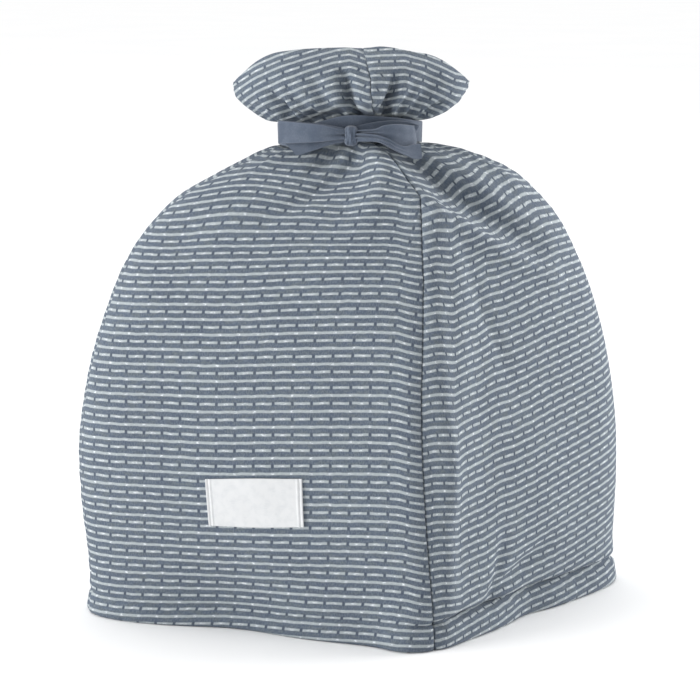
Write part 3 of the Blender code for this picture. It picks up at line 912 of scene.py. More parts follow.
@dataclass(frozen=True)
class Wire:
    """A value on a bench, on which plain sums can be done."""

    bench: "NodeBench"
    socket: bpy.types.NodeSocket

    def __add__(self, other: "Value") -> "Wire":
        """The sum of two values."""
        return self.bench.math("ADD", self, other)

    def __sub__(self, other: "Value") -> "Wire":
        """This value less another."""
        return self.bench.math("SUBTRACT", self, other)

    def __mul__(self, other: "Value") -> "Wire":
        """The product of two values."""
        return self if other == 1.0 else self.bench.math("MULTIPLY", self, other)

    def __abs__(self) -> "Wire":
        """The value without its sign."""
        return self.bench.math("ABSOLUTE", self)

    def wave(self, length: float) -> "Wire":
        """A wave from -1 to 1 that repeats over the length."""
        return self.bench.math("SINE", self * (2 * math.pi / length))

    def fade(self, start: float, end: float) -> "Wire":
        """1 at the start, softly down to 0 at the end, and even past both. Either may be the lower.

        Args:
            start: The value at which it is 1.
            end: The value at which it is 0.

        Returns:
            The faded value.
        """
        flip = float(start > end)
        ends = {"_1": min(start, end), "_2": max(start, end), "_3": 1.0 - flip, "_4": flip}
        node = self.bench.add("MapRange", interpolation_type="SMOOTHSTEP", _0=self, **ends)
        return Wire(self.bench, node.outputs[0])

    def cover(self, cover: Cover) -> "Wire":
        """How much of the other colour there is at this value."""
        return self.fade(cover.start, cover.end) * cover.share


Value = Wire | Color | float


@dataclass(frozen=True)
class NodeBench:
    """Lays out the nodes of one finish."""

    material: bpy.types.Material

    def add(self, kind: str, **sockets: object) -> bpy.types.Node:
        """Adds a node.

        Args:
            kind: The node's type name without its ShaderNode start.
            **sockets: Attributes of the node, or inputs by number as in _0.

        Returns:
            The node.
        """
        node = self.material.node_tree.nodes.new(f"ShaderNode{kind}")
        for key, value in sockets.items():
            if key.startswith("_"):
                self.feed(node.inputs[int(key[1:])], value)
            else:
                setattr(node, key, value)
        return node

    def feed(self, socket: bpy.types.NodeSocket, value: Value) -> None:
        """Links a socket to a value's own, or sets it.

        Args:
            socket: The socket to feed.
            value: A wire, a colour or a number.
        """
        if isinstance(value, Wire):
            self.material.node_tree.links.new(value.socket, socket)
        elif isinstance(value, tuple):
            socket.default_value = (*value, 1.0)
        else:
            socket.default_value = value

    def math(self, operation: str, first: Value, second: Value = 0.0) -> Wire:
        """A sum, product or other operation of one or two values."""
        return Wire(self, self.add("Math", operation=operation, _0=first, _1=second).outputs[0])

    def blend(self, factor: Value, first: Value, second: Value) -> Wire:
        """A colour between two colours."""
        return Wire(self, self.add("Mix", data_type="RGBA", _0=factor, _6=first, _7=second).outputs[2])

    def noise(self, place: Wire, scale: float, detail: float) -> Wire:
        """Smooth noise from 0 to 1.

        Args:
            place: Where to read it.
            scale: How close together its spots are.
            detail: How many finer layers it has.

        Returns:
            The noise.
        """
        node = self.add("TexNoise")
        for key, value in (("Vector", place), ("Scale", scale), ("Detail", detail)):
            self.feed(node.inputs[key], value)
        return Wire(self, node.outputs[0])

    def grain(self, along: Wire, up: Wire, grain: Grain) -> Wire:
        """Smooth noise from 0 to 1 over the cloth."""
        place = self.add("CombineXYZ", _0=along * grain.along, _1=up * grain.up, _2=0.0).outputs[0]
        return self.noise(Wire(self, place), grain.scale, grain.detail)

    def lay(self) -> list[Wire]:
        """The three parts of where a point lies in the finish's pattern.

        Returns:
            A value for each part.
        """
        source = self.add("Attribute", attribute_name="lay").outputs["Vector"]
        parts = self.add("SeparateXYZ", _0=Wire(self, source)).outputs
        return [Wire(self, part) for part in parts]

    def finish(self, color: Wire, height: Wire, strength: float, **shader: float) -> bpy.types.Material:
        """Feeds the shader.

        Args:
            color: The base colour.
            height: The relief, in mm.
            strength: The strength of the relief.
            **shader: The shader's inputs that are even all over, with _ for each space.

        Returns:
            The finished material.
        """
        principled = self.material.node_tree.nodes["Principled BSDF"]
        self.feed(principled.inputs["Base Color"], color)
        for key, value in shader.items():
            self.feed(principled.inputs[key.replace("_", " ")], value)
        bump = self.add("Bump")
        for key, value in (("Strength", strength), ("Distance", MM), ("Height", height)):
            self.feed(bump.inputs[key], value)
        self.feed(principled.inputs["Normal"], Wire(self, bump.outputs[0]))
        return self.material


def new_bench(name: str) -> NodeBench:
    """A bench for a new material of this name.

    Args:
        name: The material's name.

    Returns:
        The bench.
    """
    material = bpy.data.materials.new(name)
    material.use_nodes = True
    return NodeBench(material)


@dataclass(frozen=True)
class StripedWeave:
    """Blue-grey cotton with pale weft lines, solid and dashed by turns. Lengths are in mm."""

    name: str = "striped_weave"
    ground: Color = (0.104, 0.131, 0.173)
    ground_warm: Color = (0.123, 0.146, 0.165)
    ground_deep: Color = (0.076, 0.096, 0.134)
    line: Color = (0.440, 0.484, 0.500)
    line_bright: Color = (0.760, 0.800, 0.830)
    warp_light: Color = (0.180, 0.212, 0.252)
    tick_dark: Color = (0.050, 0.064, 0.092)
    row_mm: float = 3.87
    dash_mm: float = 9.6
    # Half the width of each line and gap, and how soft and ragged its edges are
    dashed_half: float = 0.64
    solid_half: float = 0.70
    gap_half: float = 0.76
    softness: float = 0.30
    gap_softness: float = 0.25
    raggedness: float = 0.62
    # How far the yarns wander from their rows, in rows, and the noises that move and shade them
    sway: float = 0.16
    wander: Grain = Grain(0.16, 1.0)
    yarn: Grain = Grain(1.25, 3.0, along=0.55)
    flecks: Grain = Grain(1.5, up=0.45)
    tone: Grain = Grain(0.55, along=0.35)
    patches: Grain = Grain(0.045)
    # Bright crossings, in the middle of each dash and on the solid lines over each gap
    dash_middle: Cover = Cover(4.3, 2.6)
    dash_brightness: float = 0.75
    over_gap: Cover = Cover(0.35, 1.15)
    bright_yarn: Cover = Cover(0.62, 0.35)
    # Dark ticks in the gaps
    tick_along: Cover = Cover(0.3, 0.75)
    tick_across: Cover = Cover(0.75, 1.35)
    tick_share: float = 0.55
    warm_tone: Cover = Cover(0.66, 0.40)
    deep_patch: Cover = Cover(0.35, 0.62, 0.45)
    warp: Cover = Cover(0.62, 0.46, 0.42)
    pits: Cover = Cover(0.36, 0.50, 0.55)
    thin_yarn: Cover = Cover(0.42, 0.70, 0.35)
    rubbed: Cover = Cover(0.3, 2.2, 0.14)
    warp_pitch: float = 0.62
    weft_pitch: float = 0.55
    grain_relief: float = 0.05
    line_relief: float = 0.26
    tick_relief: float = 0.16
    yarn_relief: float = 0.16

    def make(self) -> bpy.types.Material:
        """Makes the material.

        Returns:
            The material, which reads the count of dashes and of rows from the lay.
        """
        bench = new_bench(self.name)
        dashes, rows, edge = bench.lay()
        run, up = dashes * self.dash_mm, rows * self.row_mm
        true_rows = rows + (bench.grain(run, up, self.wander) - 0.5) * self.sway
        pair = bench.math("FLOORED_MODULO", true_rows + 1.0, 2.0)
        from_dashed = abs((pair - 1.0) * self.row_mm)
        from_solid = bench.math("SUBTRACT", self.row_mm, from_dashed)
        from_gap = abs(bench.math("FRACT", dashes + 0.5) - 0.5) * self.dash_mm
        yarn = bench.grain(run, up, self.yarn)
        ragged = (yarn - 0.5) * self.raggedness
        dashed, solid, gap, soft = self.dashed_half, self.solid_half, self.gap_half, self.softness
        in_dash = (from_dashed + ragged).fade(dashed - soft, dashed + soft)
        in_dash = in_dash * from_gap.fade(gap + self.gap_softness, gap - self.gap_softness)
        in_solid = (from_solid + ragged).fade(solid - soft, solid + soft)
        lines = bench.math("MAXIMUM", in_dash, in_solid)
        mid_dash = in_dash * from_gap.cover(self.dash_middle) * self.dash_brightness
        bright = bench.math("MAXIMUM", mid_dash, in_solid * from_gap.cover(self.over_gap))
        bright = bright * yarn.cover(self.bright_yarn)
        tick = from_gap.cover(self.tick_along) * from_dashed.cover(self.tick_across) * self.tick_share
        # Warp threads show as fine upright flecks between the lines.
        flecks = bench.grain(run, up, self.flecks)
        tone, patches = bench.grain(run, up, self.tone), bench.grain(run, up, self.patches)
        ground = bench.blend(tone.cover(self.warm_tone), self.ground, self.ground_warm)
        ground = bench.blend(patches.cover(self.deep_patch), ground, self.ground_deep)
        ground = bench.blend(flecks.cover(self.warp), ground, self.warp_light)
        ground = bench.blend(flecks.cover(self.pits), ground, self.ground_deep)
        ground = bench.blend(tick, ground, self.tick_dark)
        weft = bench.blend(bright, self.line, self.line_bright)
        weft = bench.blend(yarn.cover(self.thin_yarn), weft, self.warp_light)
        color = bench.blend(lines, ground, weft)
        color = bench.blend(edge.cover(self.rubbed), color, self.warp_light)
        # The lines stand up, the ticks sink, and the plain weave has its own grain.
        relief = run.wave(self.warp_pitch) * up.wave(self.weft_pitch) * self.grain_relief
        relief = lines * self.line_relief + relief - tick * self.tick_relief + yarn * self.yarn_relief
        even = {"Roughness": 0.92, "Sheen_Weight": 0.04, "Sheen_Roughness": 0.6}
        return bench.finish(color, relief, strength=0.7, Specular_IOR_Level=0.2, **even)


@dataclass(frozen=True)
class RibbonTape:
    """Soft plain-woven cotton tape, with firm edges. Lengths are in mm."""

    name: str = "ribbon_tape"
    base: Color = (0.080, 0.102, 0.143)
    light: Color = (0.108, 0.132, 0.176)
    deep: Color = (0.056, 0.073, 0.104)
    tone: Grain = Grain(0.12, 3.0)
    fine: Grain = Grain(0.9, along=2.6)
    light_tone: Cover = Cover(0.66, 0.36)
    flecks: Cover = Cover(0.42, 0.62, 0.35)
    selvedge: Cover = Cover(0.35, 0.9, 0.55)
    weft_pitch: float = 0.5
    warp_pitch: float = 0.55
    grain_relief: float = 0.03
    fine_relief: float = 0.07
    selvedge_relief: float = 0.1

    def make(self) -> bpy.types.Material:
        """Makes the material.

        Returns:
            The material, which reads the mm along and across the tape from the lay.
        """
        bench = new_bench(self.name)
        along, across, edge = bench.lay()
        tone, fine = bench.grain(along, across, self.tone), bench.grain(along, across, self.fine)
        selvedge = edge.cover(self.selvedge)
        color = bench.blend(tone.cover(self.light_tone), self.base, self.light)
        color = bench.blend(fine.cover(self.flecks), color, self.deep)
        color = bench.blend(selvedge, color, self.light)
        relief = along.wave(self.weft_pitch) * across.wave(self.warp_pitch) * self.grain_relief
        relief = relief + fine * self.fine_relief + selvedge * self.selvedge_relief
        even = {"Roughness": 0.85, "Sheen_Weight": 0.25, "Sheen_Roughness": 0.5}
        return bench.finish(color, relief, strength=0.6, Specular_IOR_Level=0.25, **even)


@dataclass(frozen=True)
class LabelWeave:
    """Close white satin-woven tape, as sewn-in labels have. Lengths are in mm."""

    name: str = "label_weave"
    white: Color = (0.655, 0.665, 0.675)
    shade: Color = (0.59, 0.605, 0.62)
    tone: Grain = Grain(0.22, 3.0)
    threads: Grain = Grain(2.0, along=0.12)
    shaded: Cover = Cover(0.70, 0.40)
    streaks: Cover = Cover(0.40, 0.66, 0.4)
    worn: Cover = Cover(0.2, 0.8, 0.5)
    rib_pitch: float = 0.42
    stagger_pitch: float = 0.8
    stagger: float = 0.4
    weave_relief: float = 0.022
    thread_relief: float = 0.05

    def make(self) -> bpy.types.Material:
        """Makes the material.

        Returns:
            The material, which reads the mm along and up the label from the lay.
        """
        bench = new_bench(self.name)
        along, up, edge = bench.lay()
        tone, threads = bench.grain(along, up, self.tone), bench.grain(along, up, self.threads)
        color = bench.blend(tone.cover(self.shaded), self.white, self.shade)
        color = bench.blend(threads.cover(self.streaks), color, self.white)
        color = bench.blend(edge.cover(self.worn), color, self.shade)
        staggered = along.wave(self.stagger_pitch) * self.stagger + (1.0 - self.stagger)
        relief = up.wave(self.rib_pitch) * staggered * self.weave_relief + threads * self.thread_relief
        even = {"Roughness": 0.62, "Sheen_Weight": 0.15, "Sheen_Roughness": 0.4}
        return bench.finish(color, relief, strength=0.5, Specular_IOR_Level=0.35, **even)


@dataclass(frozen=True)
class SewingThread:
    """Twisted sewing thread. Lengths are in mm."""

    name: str
    base: Color
    light: Color
    twist: float = 8.0  # how far the thread turns for each mm, in radians
    fuzz: Grain = Grain(1.7)
    lit_ply: Cover = Cover(0.9, -0.6)
    fuzzed: Cover = Cover(0.6, 0.4, 0.3)
    ply_relief: float = 0.05

    def make(self) -> bpy.types.Material:
        """Makes the material.

        Returns:
            The material, which reads the mm along and the turn round the thread from the lay.
        """
        bench = new_bench(self.name)
        along, turn, _ = bench.lay()
        ply = bench.math("SINE", along * self.twist + turn)
        fuzz = bench.grain(along, turn, self.fuzz)
        color = bench.blend(ply.cover(self.lit_ply), self.base, self.light)
        color = bench.blend(fuzz.cover(self.fuzzed), color, self.base)
        even = {"Roughness": 0.7, "Sheen_Weight": 0.2, "Specular_IOR_Level": 0.3}
        return bench.finish(color, ply * self.ply_relief, strength=0.6, **even)


@dataclass(frozen=True)
class StudioSweep:
    """The pale, smooth paper of the studio floor."""

    name: str = "studio_sweep"
    paper: Color = (0.945, 0.945, 0.945)
    paper_cool: Color = (0.932, 0.935, 0.938)
    cloud: Grain = Grain(3.0)
    clouded: Cover = Cover(0.7, 0.3)

    def make(self) -> bpy.types.Material:
        """Makes the material, with the faintest cloudiness of paper.

        Returns:
            The material.
        """
        bench = new_bench(self.name)
        place = Wire(bench, bench.add("TexCoord").outputs["Object"])
        cloud = bench.noise(place, self.cloud.scale, self.cloud.detail)
        color = bench.blend(cloud.cover(self.clouded), self.paper_cool, self.paper)
        return bench.finish(color, cloud, strength=0.02, Roughness=0.9, Specular_IOR_Level=0.1)


def dressed(piece: bpy.types.Object, finish: bpy.types.Material, node: str = "") -> None:
    """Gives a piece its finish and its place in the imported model.

    Args:
        piece: The piece.
        finish: Its material.
        node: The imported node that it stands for, if it stands for one.
    """
    piece.data.materials.append(finish)
    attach(piece, BODY)
    if node:
        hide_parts(node)


@dataclass
class ClothPanel:
    """One cloth panel, from its left seam to its right seam and from its hem to the frill."""

    which: Panel
    form: CosyForm
    lay: WeaveLay
    flat: tuple[float, float]  # the cut's width and length, in mm
    flat_share: float = 0.75  # how much of that rectangle the shaped cut takes up
    edge_steps: tuple[float, ...] = (0.0, 0.25, 0.55, 0.95, 1.5, 2.4, 3.8)
    middle_columns: int = 84
    gutter: float = 1.5  # how deep the cloth rolls in at a seam
    gutter_in_frill: float = 1.0
    gutter_eases_over: float = 10.0
    rim_steps: int = 7
    rim_turns: tuple[float, float] = (10.0, 90.0)  # the part of a rim's curl that has rows, in degrees
    # The steps between rows in the body, the drawn-in neck and the frill, and how far the neck's go
    rim_gap: float = 1.2
    body_step: float = 1.9
    neck_step: float = 1.0
    frill_step: float = 1.4
    below_neck: float = 32.0
    above_neck: float = 30.0
    stitch_inset: float = 2.0
    stitch_samples: int = 400
    stitch_sink: float = 0.05

    def rows(self) -> Array:
        """Lengths up the cloth of the panel's rows, closest at the rims and in the neck.

        Returns:
            The lengths, rising.
        """
        form = self.form
        curl = 1.0 - np.cos(np.radians(np.linspace(*self.rim_turns, self.rim_steps)))
        hem, top = form.wall / 2 * curl, form.length - form.frill_wall / 2 * curl[::-1]
        neck = form.stations[form.neck_section]
        body = np.arange(hem[-1] + self.rim_gap, neck - self.below_neck, self.body_step)
        drawn = np.arange(body[-1] + self.rim_gap, neck + self.above_neck, self.neck_step)
        frill = np.arange(drawn[-1] + self.frill_step, top[0] - self.neck_step, self.frill_step)
        return np.concatenate([hem, body, drawn, frill, top])

    def grid(self) -> tuple[Array, Array, Array, Array]:
        """The panel's columns and rows.

        Returns:
            How far round and up each point is, and its distance from the left and right seams.
        """
        up = self.rows()
        width = self.form.panel_widths(self.which.value, up)[:, None]
        steps = np.array(self.edge_steps)[None, :]
        inner = np.linspace(0.0, 1.0, self.middle_columns + 1)[None, 1:-1]
        last = self.edge_steps[-1]
        middle = last + (width - 2 * last) * inner
        left = np.concatenate([steps + 0 * width, middle, width - steps[:, ::-1]], axis=1)
        around = self.form.walked(self.which.value + left / width, up[:, None])
        return around, np.broadcast_to(up[:, None], around.shape), left, width - left

    def build(self) -> bpy.types.Object:
        """Makes the panel as one closed cloth with rolled edges.

        Returns:
            The panel's object.
        """
        form = self.form
        around, along, left, right = self.grid()
        from_seam = np.minimum(left, right)
        outer, normals = form.cloth_surface(around, along, from_seam)
        in_frill = form.column("height", along) > form.tie_height
        lay = self.lay.coordinates(form, outer, in_frill, left, right)
        inner = form.inner_surface(outer, normals, along)
        above = ease((form.column("height", along) - form.tie_height) / self.gutter_eases_over)
        roll = self.gutter + (self.gutter_in_frill - self.gutter) * above
        edge = np.clip(1.0 - from_seam / roll, 0.0, 1.0)
        sunk = roll * (1.0 - np.sqrt(1.0 - edge**2))
        outer = outer - normals * sunk[..., None]
        middle = (outer + inner) / 2
        hem_part = np.clip(1.0 - along / (form.wall / 2), 0.0, 1.0)
        rim_part = np.clip(1.0 - (form.length - along) / (form.frill_wall / 2), 0.0, 1.0)
        half = np.sqrt(1.0 - np.maximum(hem_part, rim_part) ** 2)[..., None]
        outer, inner = middle + (outer - middle) * half, middle + (inner - middle) * half
        return closed_sheet(self.which.piece, outer, inner, lay)

    def stitch_line(self) -> tuple[Array, Array]:
        """The line of the hem's stitches.

        Returns:
            The line's points, just inside the cloth's face, and the normals there.
        """
        form, panel = self.form, self.which.value
        width = float(form.panel_widths(panel, form.hem_stitch_up(np.array([panel + 0.5])))[0])
        left = np.linspace(self.stitch_inset, width - self.stitch_inset, self.stitch_samples)
        around = panel + left / width
        along = form.hem_stitch_up(around)
        points, normals = form.cloth_surface(around, along, np.minimum(left, width - left))
        return points - normals * self.stitch_sink, normals

    def dress(self, piece: bpy.types.Object, finish: bpy.types.Material) -> None:
        """Gives the panel its cloth.

        Args:
            piece: The panel's object.
            finish: The cloth's material.
        """
        dressed(piece, finish, self.which.node)
        width, length = (side * MM for side in self.flat)
        width * length * self.flat_share


@dataclass
class NeckRibbon:
    """The ribbon tied round the neck: band, knot, two loops and two free ends."""

    form: CosyForm
    thickness: float = 0.9
    clearance: float = 1.5
    cad_thickness: float = 1.3
    band_points: int = 57
    band_steps: int = 220
    across_steps: int = 16
    knot_centre: tuple[float, float, float] = (-2.0, -32.3, 247.0)
    knot_halves: tuple[float, float, float] = (3.9, 4.8, 5.0)
    knot_squareness: float = 0.7
    knot_rows: int = 36
    knot_columns: int = 64
    flat: tuple[float, float] = (10.8, 460.0)
    left_loop: tuple[TapePoint, ...] = rows_of(
        TapePoint,
        (-1.5, -33.8, 247.6, 4.4, 0), (-7.0, -35.4, 247.9, 5.2, 0), (-16.0, -36.0, 248.5, 8.2, 3),
        (-26.0, -33.0, 248.5, 9.9, 5), (-34.8, -27.6, 248.3, 11.2, 3), (-38.2, -23.8, 248.1, 11.5, 0),
        (-36.0, -21.6, 248.1, 11.2, 0), (-28.0, -24.2, 248.0, 10.6, 0), (-17.0, -29.0, 248.2, 9.0, 0),
        (-8.0, -31.4, 248.0, 6.5, 0), (-2.0, -32.2, 247.6, 4.8, 0),
    )
    right_loop: tuple[TapePoint, ...] = rows_of(
        TapePoint,
        (-1.0, -34.0, 247.8, 4.0, 0), (4.5, -35.8, 248.8, 3.2, 0), (10.0, -36.8, 249.2, 3.4, 0),
        (14.6, -36.6, 249.2, 7.0, 2), (20.6, -34.2, 248.0, 10.2, 6), (26.4, -30.0, 246.5, 11.5, 8),
        (29.4, -26.6, 245.8, 11.8, 6), (30.2, -24.0, 246.0, 11.6, 2), (27.0, -23.6, 247.4, 11.2, 0),
        (19.0, -27.0, 249.4, 9.6, 0), (9.0, -31.0, 250.0, 7.2, 0), (-1.0, -32.4, 249.0, 5.0, 0),
    )
    left_tail: tuple[TapePoint, ...] = rows_of(
        TapePoint,
        (-2.5, -33.0, 246.4, 4.4, 0), (-10.0, -31.6, 245.8, 5.6, 6), (-21.0, -30.0, 244.0, 9.2, 14),
        (-28.6, -28.2, 242.2, 10.6, 18), (-33.4, -26.8, 241.2, 10.8, 20),
    )
    right_tail: tuple[TapePoint, ...] = rows_of(
        TapePoint,
        (-1.0, -35.2, 246.4, 4.0, 0), (5.0, -37.8, 246.6, 4.0, 8), (12.0, -39.2, 246.0, 3.4, 20),
        (17.0, -39.2, 243.9, 3.8, 28), (21.0, -38.2, 241.5, 4.0, 28), (25.0, -36.0, 239.9, 4.8, 20),
        (28.6, -33.4, 239.2, 7.2, 12), (33.0, -30.4, 239.1, 7.8, 8),
    )
    tail_slants: tuple[float, float] = (8.0, 0.0)
    slant_reach: float = 9.0
    loop_steps: int = 110
    left_tail_steps: int = 44
    right_tail_steps: int = 64
    # How deep each length is creased at its start and its end, and how far the creases go
    left_loop_creases: tuple[float, float] = (0.85, 0.45)
    right_loop_creases: tuple[float, float] = (0.8, 0.4)
    tail_creases: tuple[float, float] = (0.7, 0.0)
    crease_reach: float = 15.0
    ripple_depth: float = 0.12
    edge_fullness: float = 2.4
    edge_roundness: float = 0.7
    knot_waist: float = 0.16
    knot_waist_span: float = 2.6
    knot_crease: float = 0.30
    knot_fine_crease: float = 0.16
    knot_edge: float = 3.0  # how far the knot's cloth lies from a selvedge

    def band_line(self) -> tuple[TapePoint, ...]:
        """The middle line of the band round the gathered neck.

        Returns:
            The line's points, the first one again at the end.
        """
        form, out = self.form, self.clearance + self.cad_thickness / 2
        neck = form.sections[form.neck_section]
        long_half = neck.side_reach + out
        short_half = neck.near_across / abs(math.sin(form.neck_turns[1])) + out
        return tuple(
            TapePoint(
                neck.shift + long_half * math.cos(turn),
                short_half * math.sin(turn),
                form.tie_height + float(form.tie_lift_at(np.float64(turn))),
                form.tie_width,
                0,
            )
            for turn in np.linspace(0.0, 2 * math.pi, self.band_points)
        )

    def section(self) -> tuple[Array, Array]:
        """The tape's cross-section, a flat oval.

        Returns:
            For each point its share of the width, from -0.5 to 0.5, and its part of the thickness.
        """
        turn = 2 * np.pi * np.arange(2 * self.across_steps) / (2 * self.across_steps)
        share = -0.5 * np.cos(turn)
        full = np.minimum(np.abs(np.sin(turn)) * self.edge_fullness, 1.0)
        lift = np.sign(-np.sin(turn)) * full**self.edge_roundness
        return share, lift / 2

    def sweep(
        self,
        parts: MeshParts,
        line: tuple[TapePoint, ...],
        steps: int,
        creased: tuple[float, float],
        closed: bool = False,
        slant: float = 0.0,
    ) -> None:
        """Sweeps the tape along a line.

        Args:
            parts: Where the tape is added.
            line: The tape's middle line.
            steps: The number of steps along it.
            creased: How deep the tape is creased at its start and at its end.
            closed: Whether the tape joins itself.
            slant: How much further the tape's upper edge reaches than its lower one, at the end.
        """
        form = self.form
        places = form.placed(*np.array([point[:3] for point in line], float).T)
        lengths = lengths_along(places[:, None, :], 0)[:, 0]
        at = np.linspace(0.0, lengths[-1], steps + 1)
        middle = np.stack([smooth(lengths, places[:, axis], at) for axis in range(3)], axis=-1)
        width = smooth(lengths, [point.width for point in line], at)
        lean = np.radians(smooth(lengths, [point.lean for point in line], at))
        if closed:
            middle, width, lean, at = middle[:-1], width[:-1], lean[:-1], at[:-1]
            ahead = np.roll(middle, -1, axis=0) - np.roll(middle, 1, axis=0)
        else:
            ahead = np.gradient(middle, axis=0)
        ahead = unit(ahead)
        upward = unit(np.array([0.0, 0.0, 1.0]) - ahead * ahead[:, 2:])
        out = np.cross(ahead, upward)
        neck = form.sections[form.neck_section]
        from_axis = middle - form.placed(neck.shift, 0.0, 0.0)
        away = np.sign(np.sum(out * from_axis, axis=-1, keepdims=True))
        across = upward * np.cos(lean)[:, None] - out * away * np.sin(lean)[:, None]
        out = np.cross(ahead, across)
        share, lift = self.section()
        share, lift = share[None, :], lift[None, :]
        start = np.exp(-at / self.crease_reach)[:, None]
        end = np.exp(-(lengths[-1] - at) / self.crease_reach)[:, None]
        crease = creased[0] * start + creased[1] * end
        # Two sets of creases run along the tape and shift slowly from edge to edge.
        wave = np.cos(2 * np.pi * (share * 1.9 + 0.08) + at[:, None] / 26.0)
        wave = wave + 0.5 * np.cos(2 * np.pi * share * 3.1 + at[:, None] / 15.0)
        ripple = self.ripple_depth * np.sin(at / 5.3 + 1.0)[:, None]
        ripple = ripple * np.sin(np.pi * share + at[:, None] / 17.0)
        offset = lift * self.thickness + crease * wave + ripple
        rings = middle[:, None, :] + across[:, None, :] * (width[:, None] * share)[..., None]
        rings = rings + out[:, None, :] * offset[..., None]
        cut = slant * share * ease(1.0 - (lengths[-1] - at) / self.slant_reach)[:, None]
        rings = rings + ahead[:, None, :] * cut[..., None]
        rows, sides = rings.shape[:2]
        faces = ring_faces(rows, sides, closed, capped=not closed)
        edge = (0.5 - np.abs(share)) * width[:, None]
        lay = np.stack(
            np.broadcast_arrays(at[:, None], share * width[:, None], edge), axis=-1
        )
        parts.add(rings, faces, lay)

    def wind_knot(self, parts: MeshParts) -> None:
        """Adds the knot, a rounded block of tape wound over and under.

        Args:
            parts: Where the knot is added.
        """
        rise = np.pi * (np.arange(1, self.knot_rows) / self.knot_rows - 0.5)[:, None]
        turn = 2 * np.pi * np.arange(self.knot_columns) / self.knot_columns
        ball = np.stack(
            [np.cos(rise) * np.cos(turn), np.cos(rise) * np.sin(turn), np.sin(rise) + 0 * turn],
            axis=-1,
        )
        block = np.sign(ball) * np.abs(ball) ** self.knot_squareness * np.array(self.knot_halves)
        side, front, up = block[..., 0], block[..., 1], block[..., 2]
        waist = 1.0 - self.knot_waist * bell(up, self.knot_waist_span)
        # The turns of the tape show as two sets of slanting creases.
        crease = self.knot_crease * np.cos(side * 2.1 + up * 0.35 + 0.6)
        crease = crease + self.knot_fine_crease * np.cos(side * 3.9 - up * 0.5)
        block = np.stack([side * waist, front - crease * np.sign(-front), up], axis=-1)
        half = self.knot_halves[2]
        block = np.concatenate([block.reshape(-1, 3), [[0.0, 0.0, -half], [0.0, 0.0, half]]])
        places = self.form.placed(*(block + np.array(self.knot_centre)).T)
        rings = self.knot_rows - 1
        faces = ring_faces(rings, self.knot_columns)
        bottom, top, last = len(places) - 2, len(places) - 1, (rings - 1) * self.knot_columns
        for col in range(self.knot_columns):
            beside = (col + 1) % self.knot_columns
            faces.append((bottom, beside, col))
            faces.append((top, last + col, last + beside))
        lay = np.stack([block[:, 2], block[:, 0], np.full(len(block), self.knot_edge)], axis=-1)
        parts.add(places, faces, lay)

    def build(self) -> bpy.types.Object:
        """Makes the tied ribbon as one piece.

        Returns:
            The ribbon's object.
        """
        parts = MeshParts()
        self.sweep(parts, self.band_line(), self.band_steps, (0.0, 0.0), closed=True)
        self.wind_knot(parts)
        self.sweep(parts, self.left_loop, self.loop_steps, self.left_loop_creases)
        self.sweep(parts, self.right_loop, self.loop_steps, self.right_loop_creases)
        left, right = self.tail_slants
        self.sweep(parts, self.left_tail, self.left_tail_steps, self.tail_creases, slant=left)
        self.sweep(parts, self.right_tail, self.right_tail_steps, self.tail_creases, slant=right)
        return parts.build("neck_ribbon")

    def dress(self, piece: bpy.types.Object, finish: bpy.types.Material) -> None:
        """Gives the ribbon its tape.

        Args:
            piece: The ribbon's object.
            finish: The tape's material.
        """
        dressed(piece, finish, "ribbon_tie")
        width, length = (side * MM for side in self.flat)


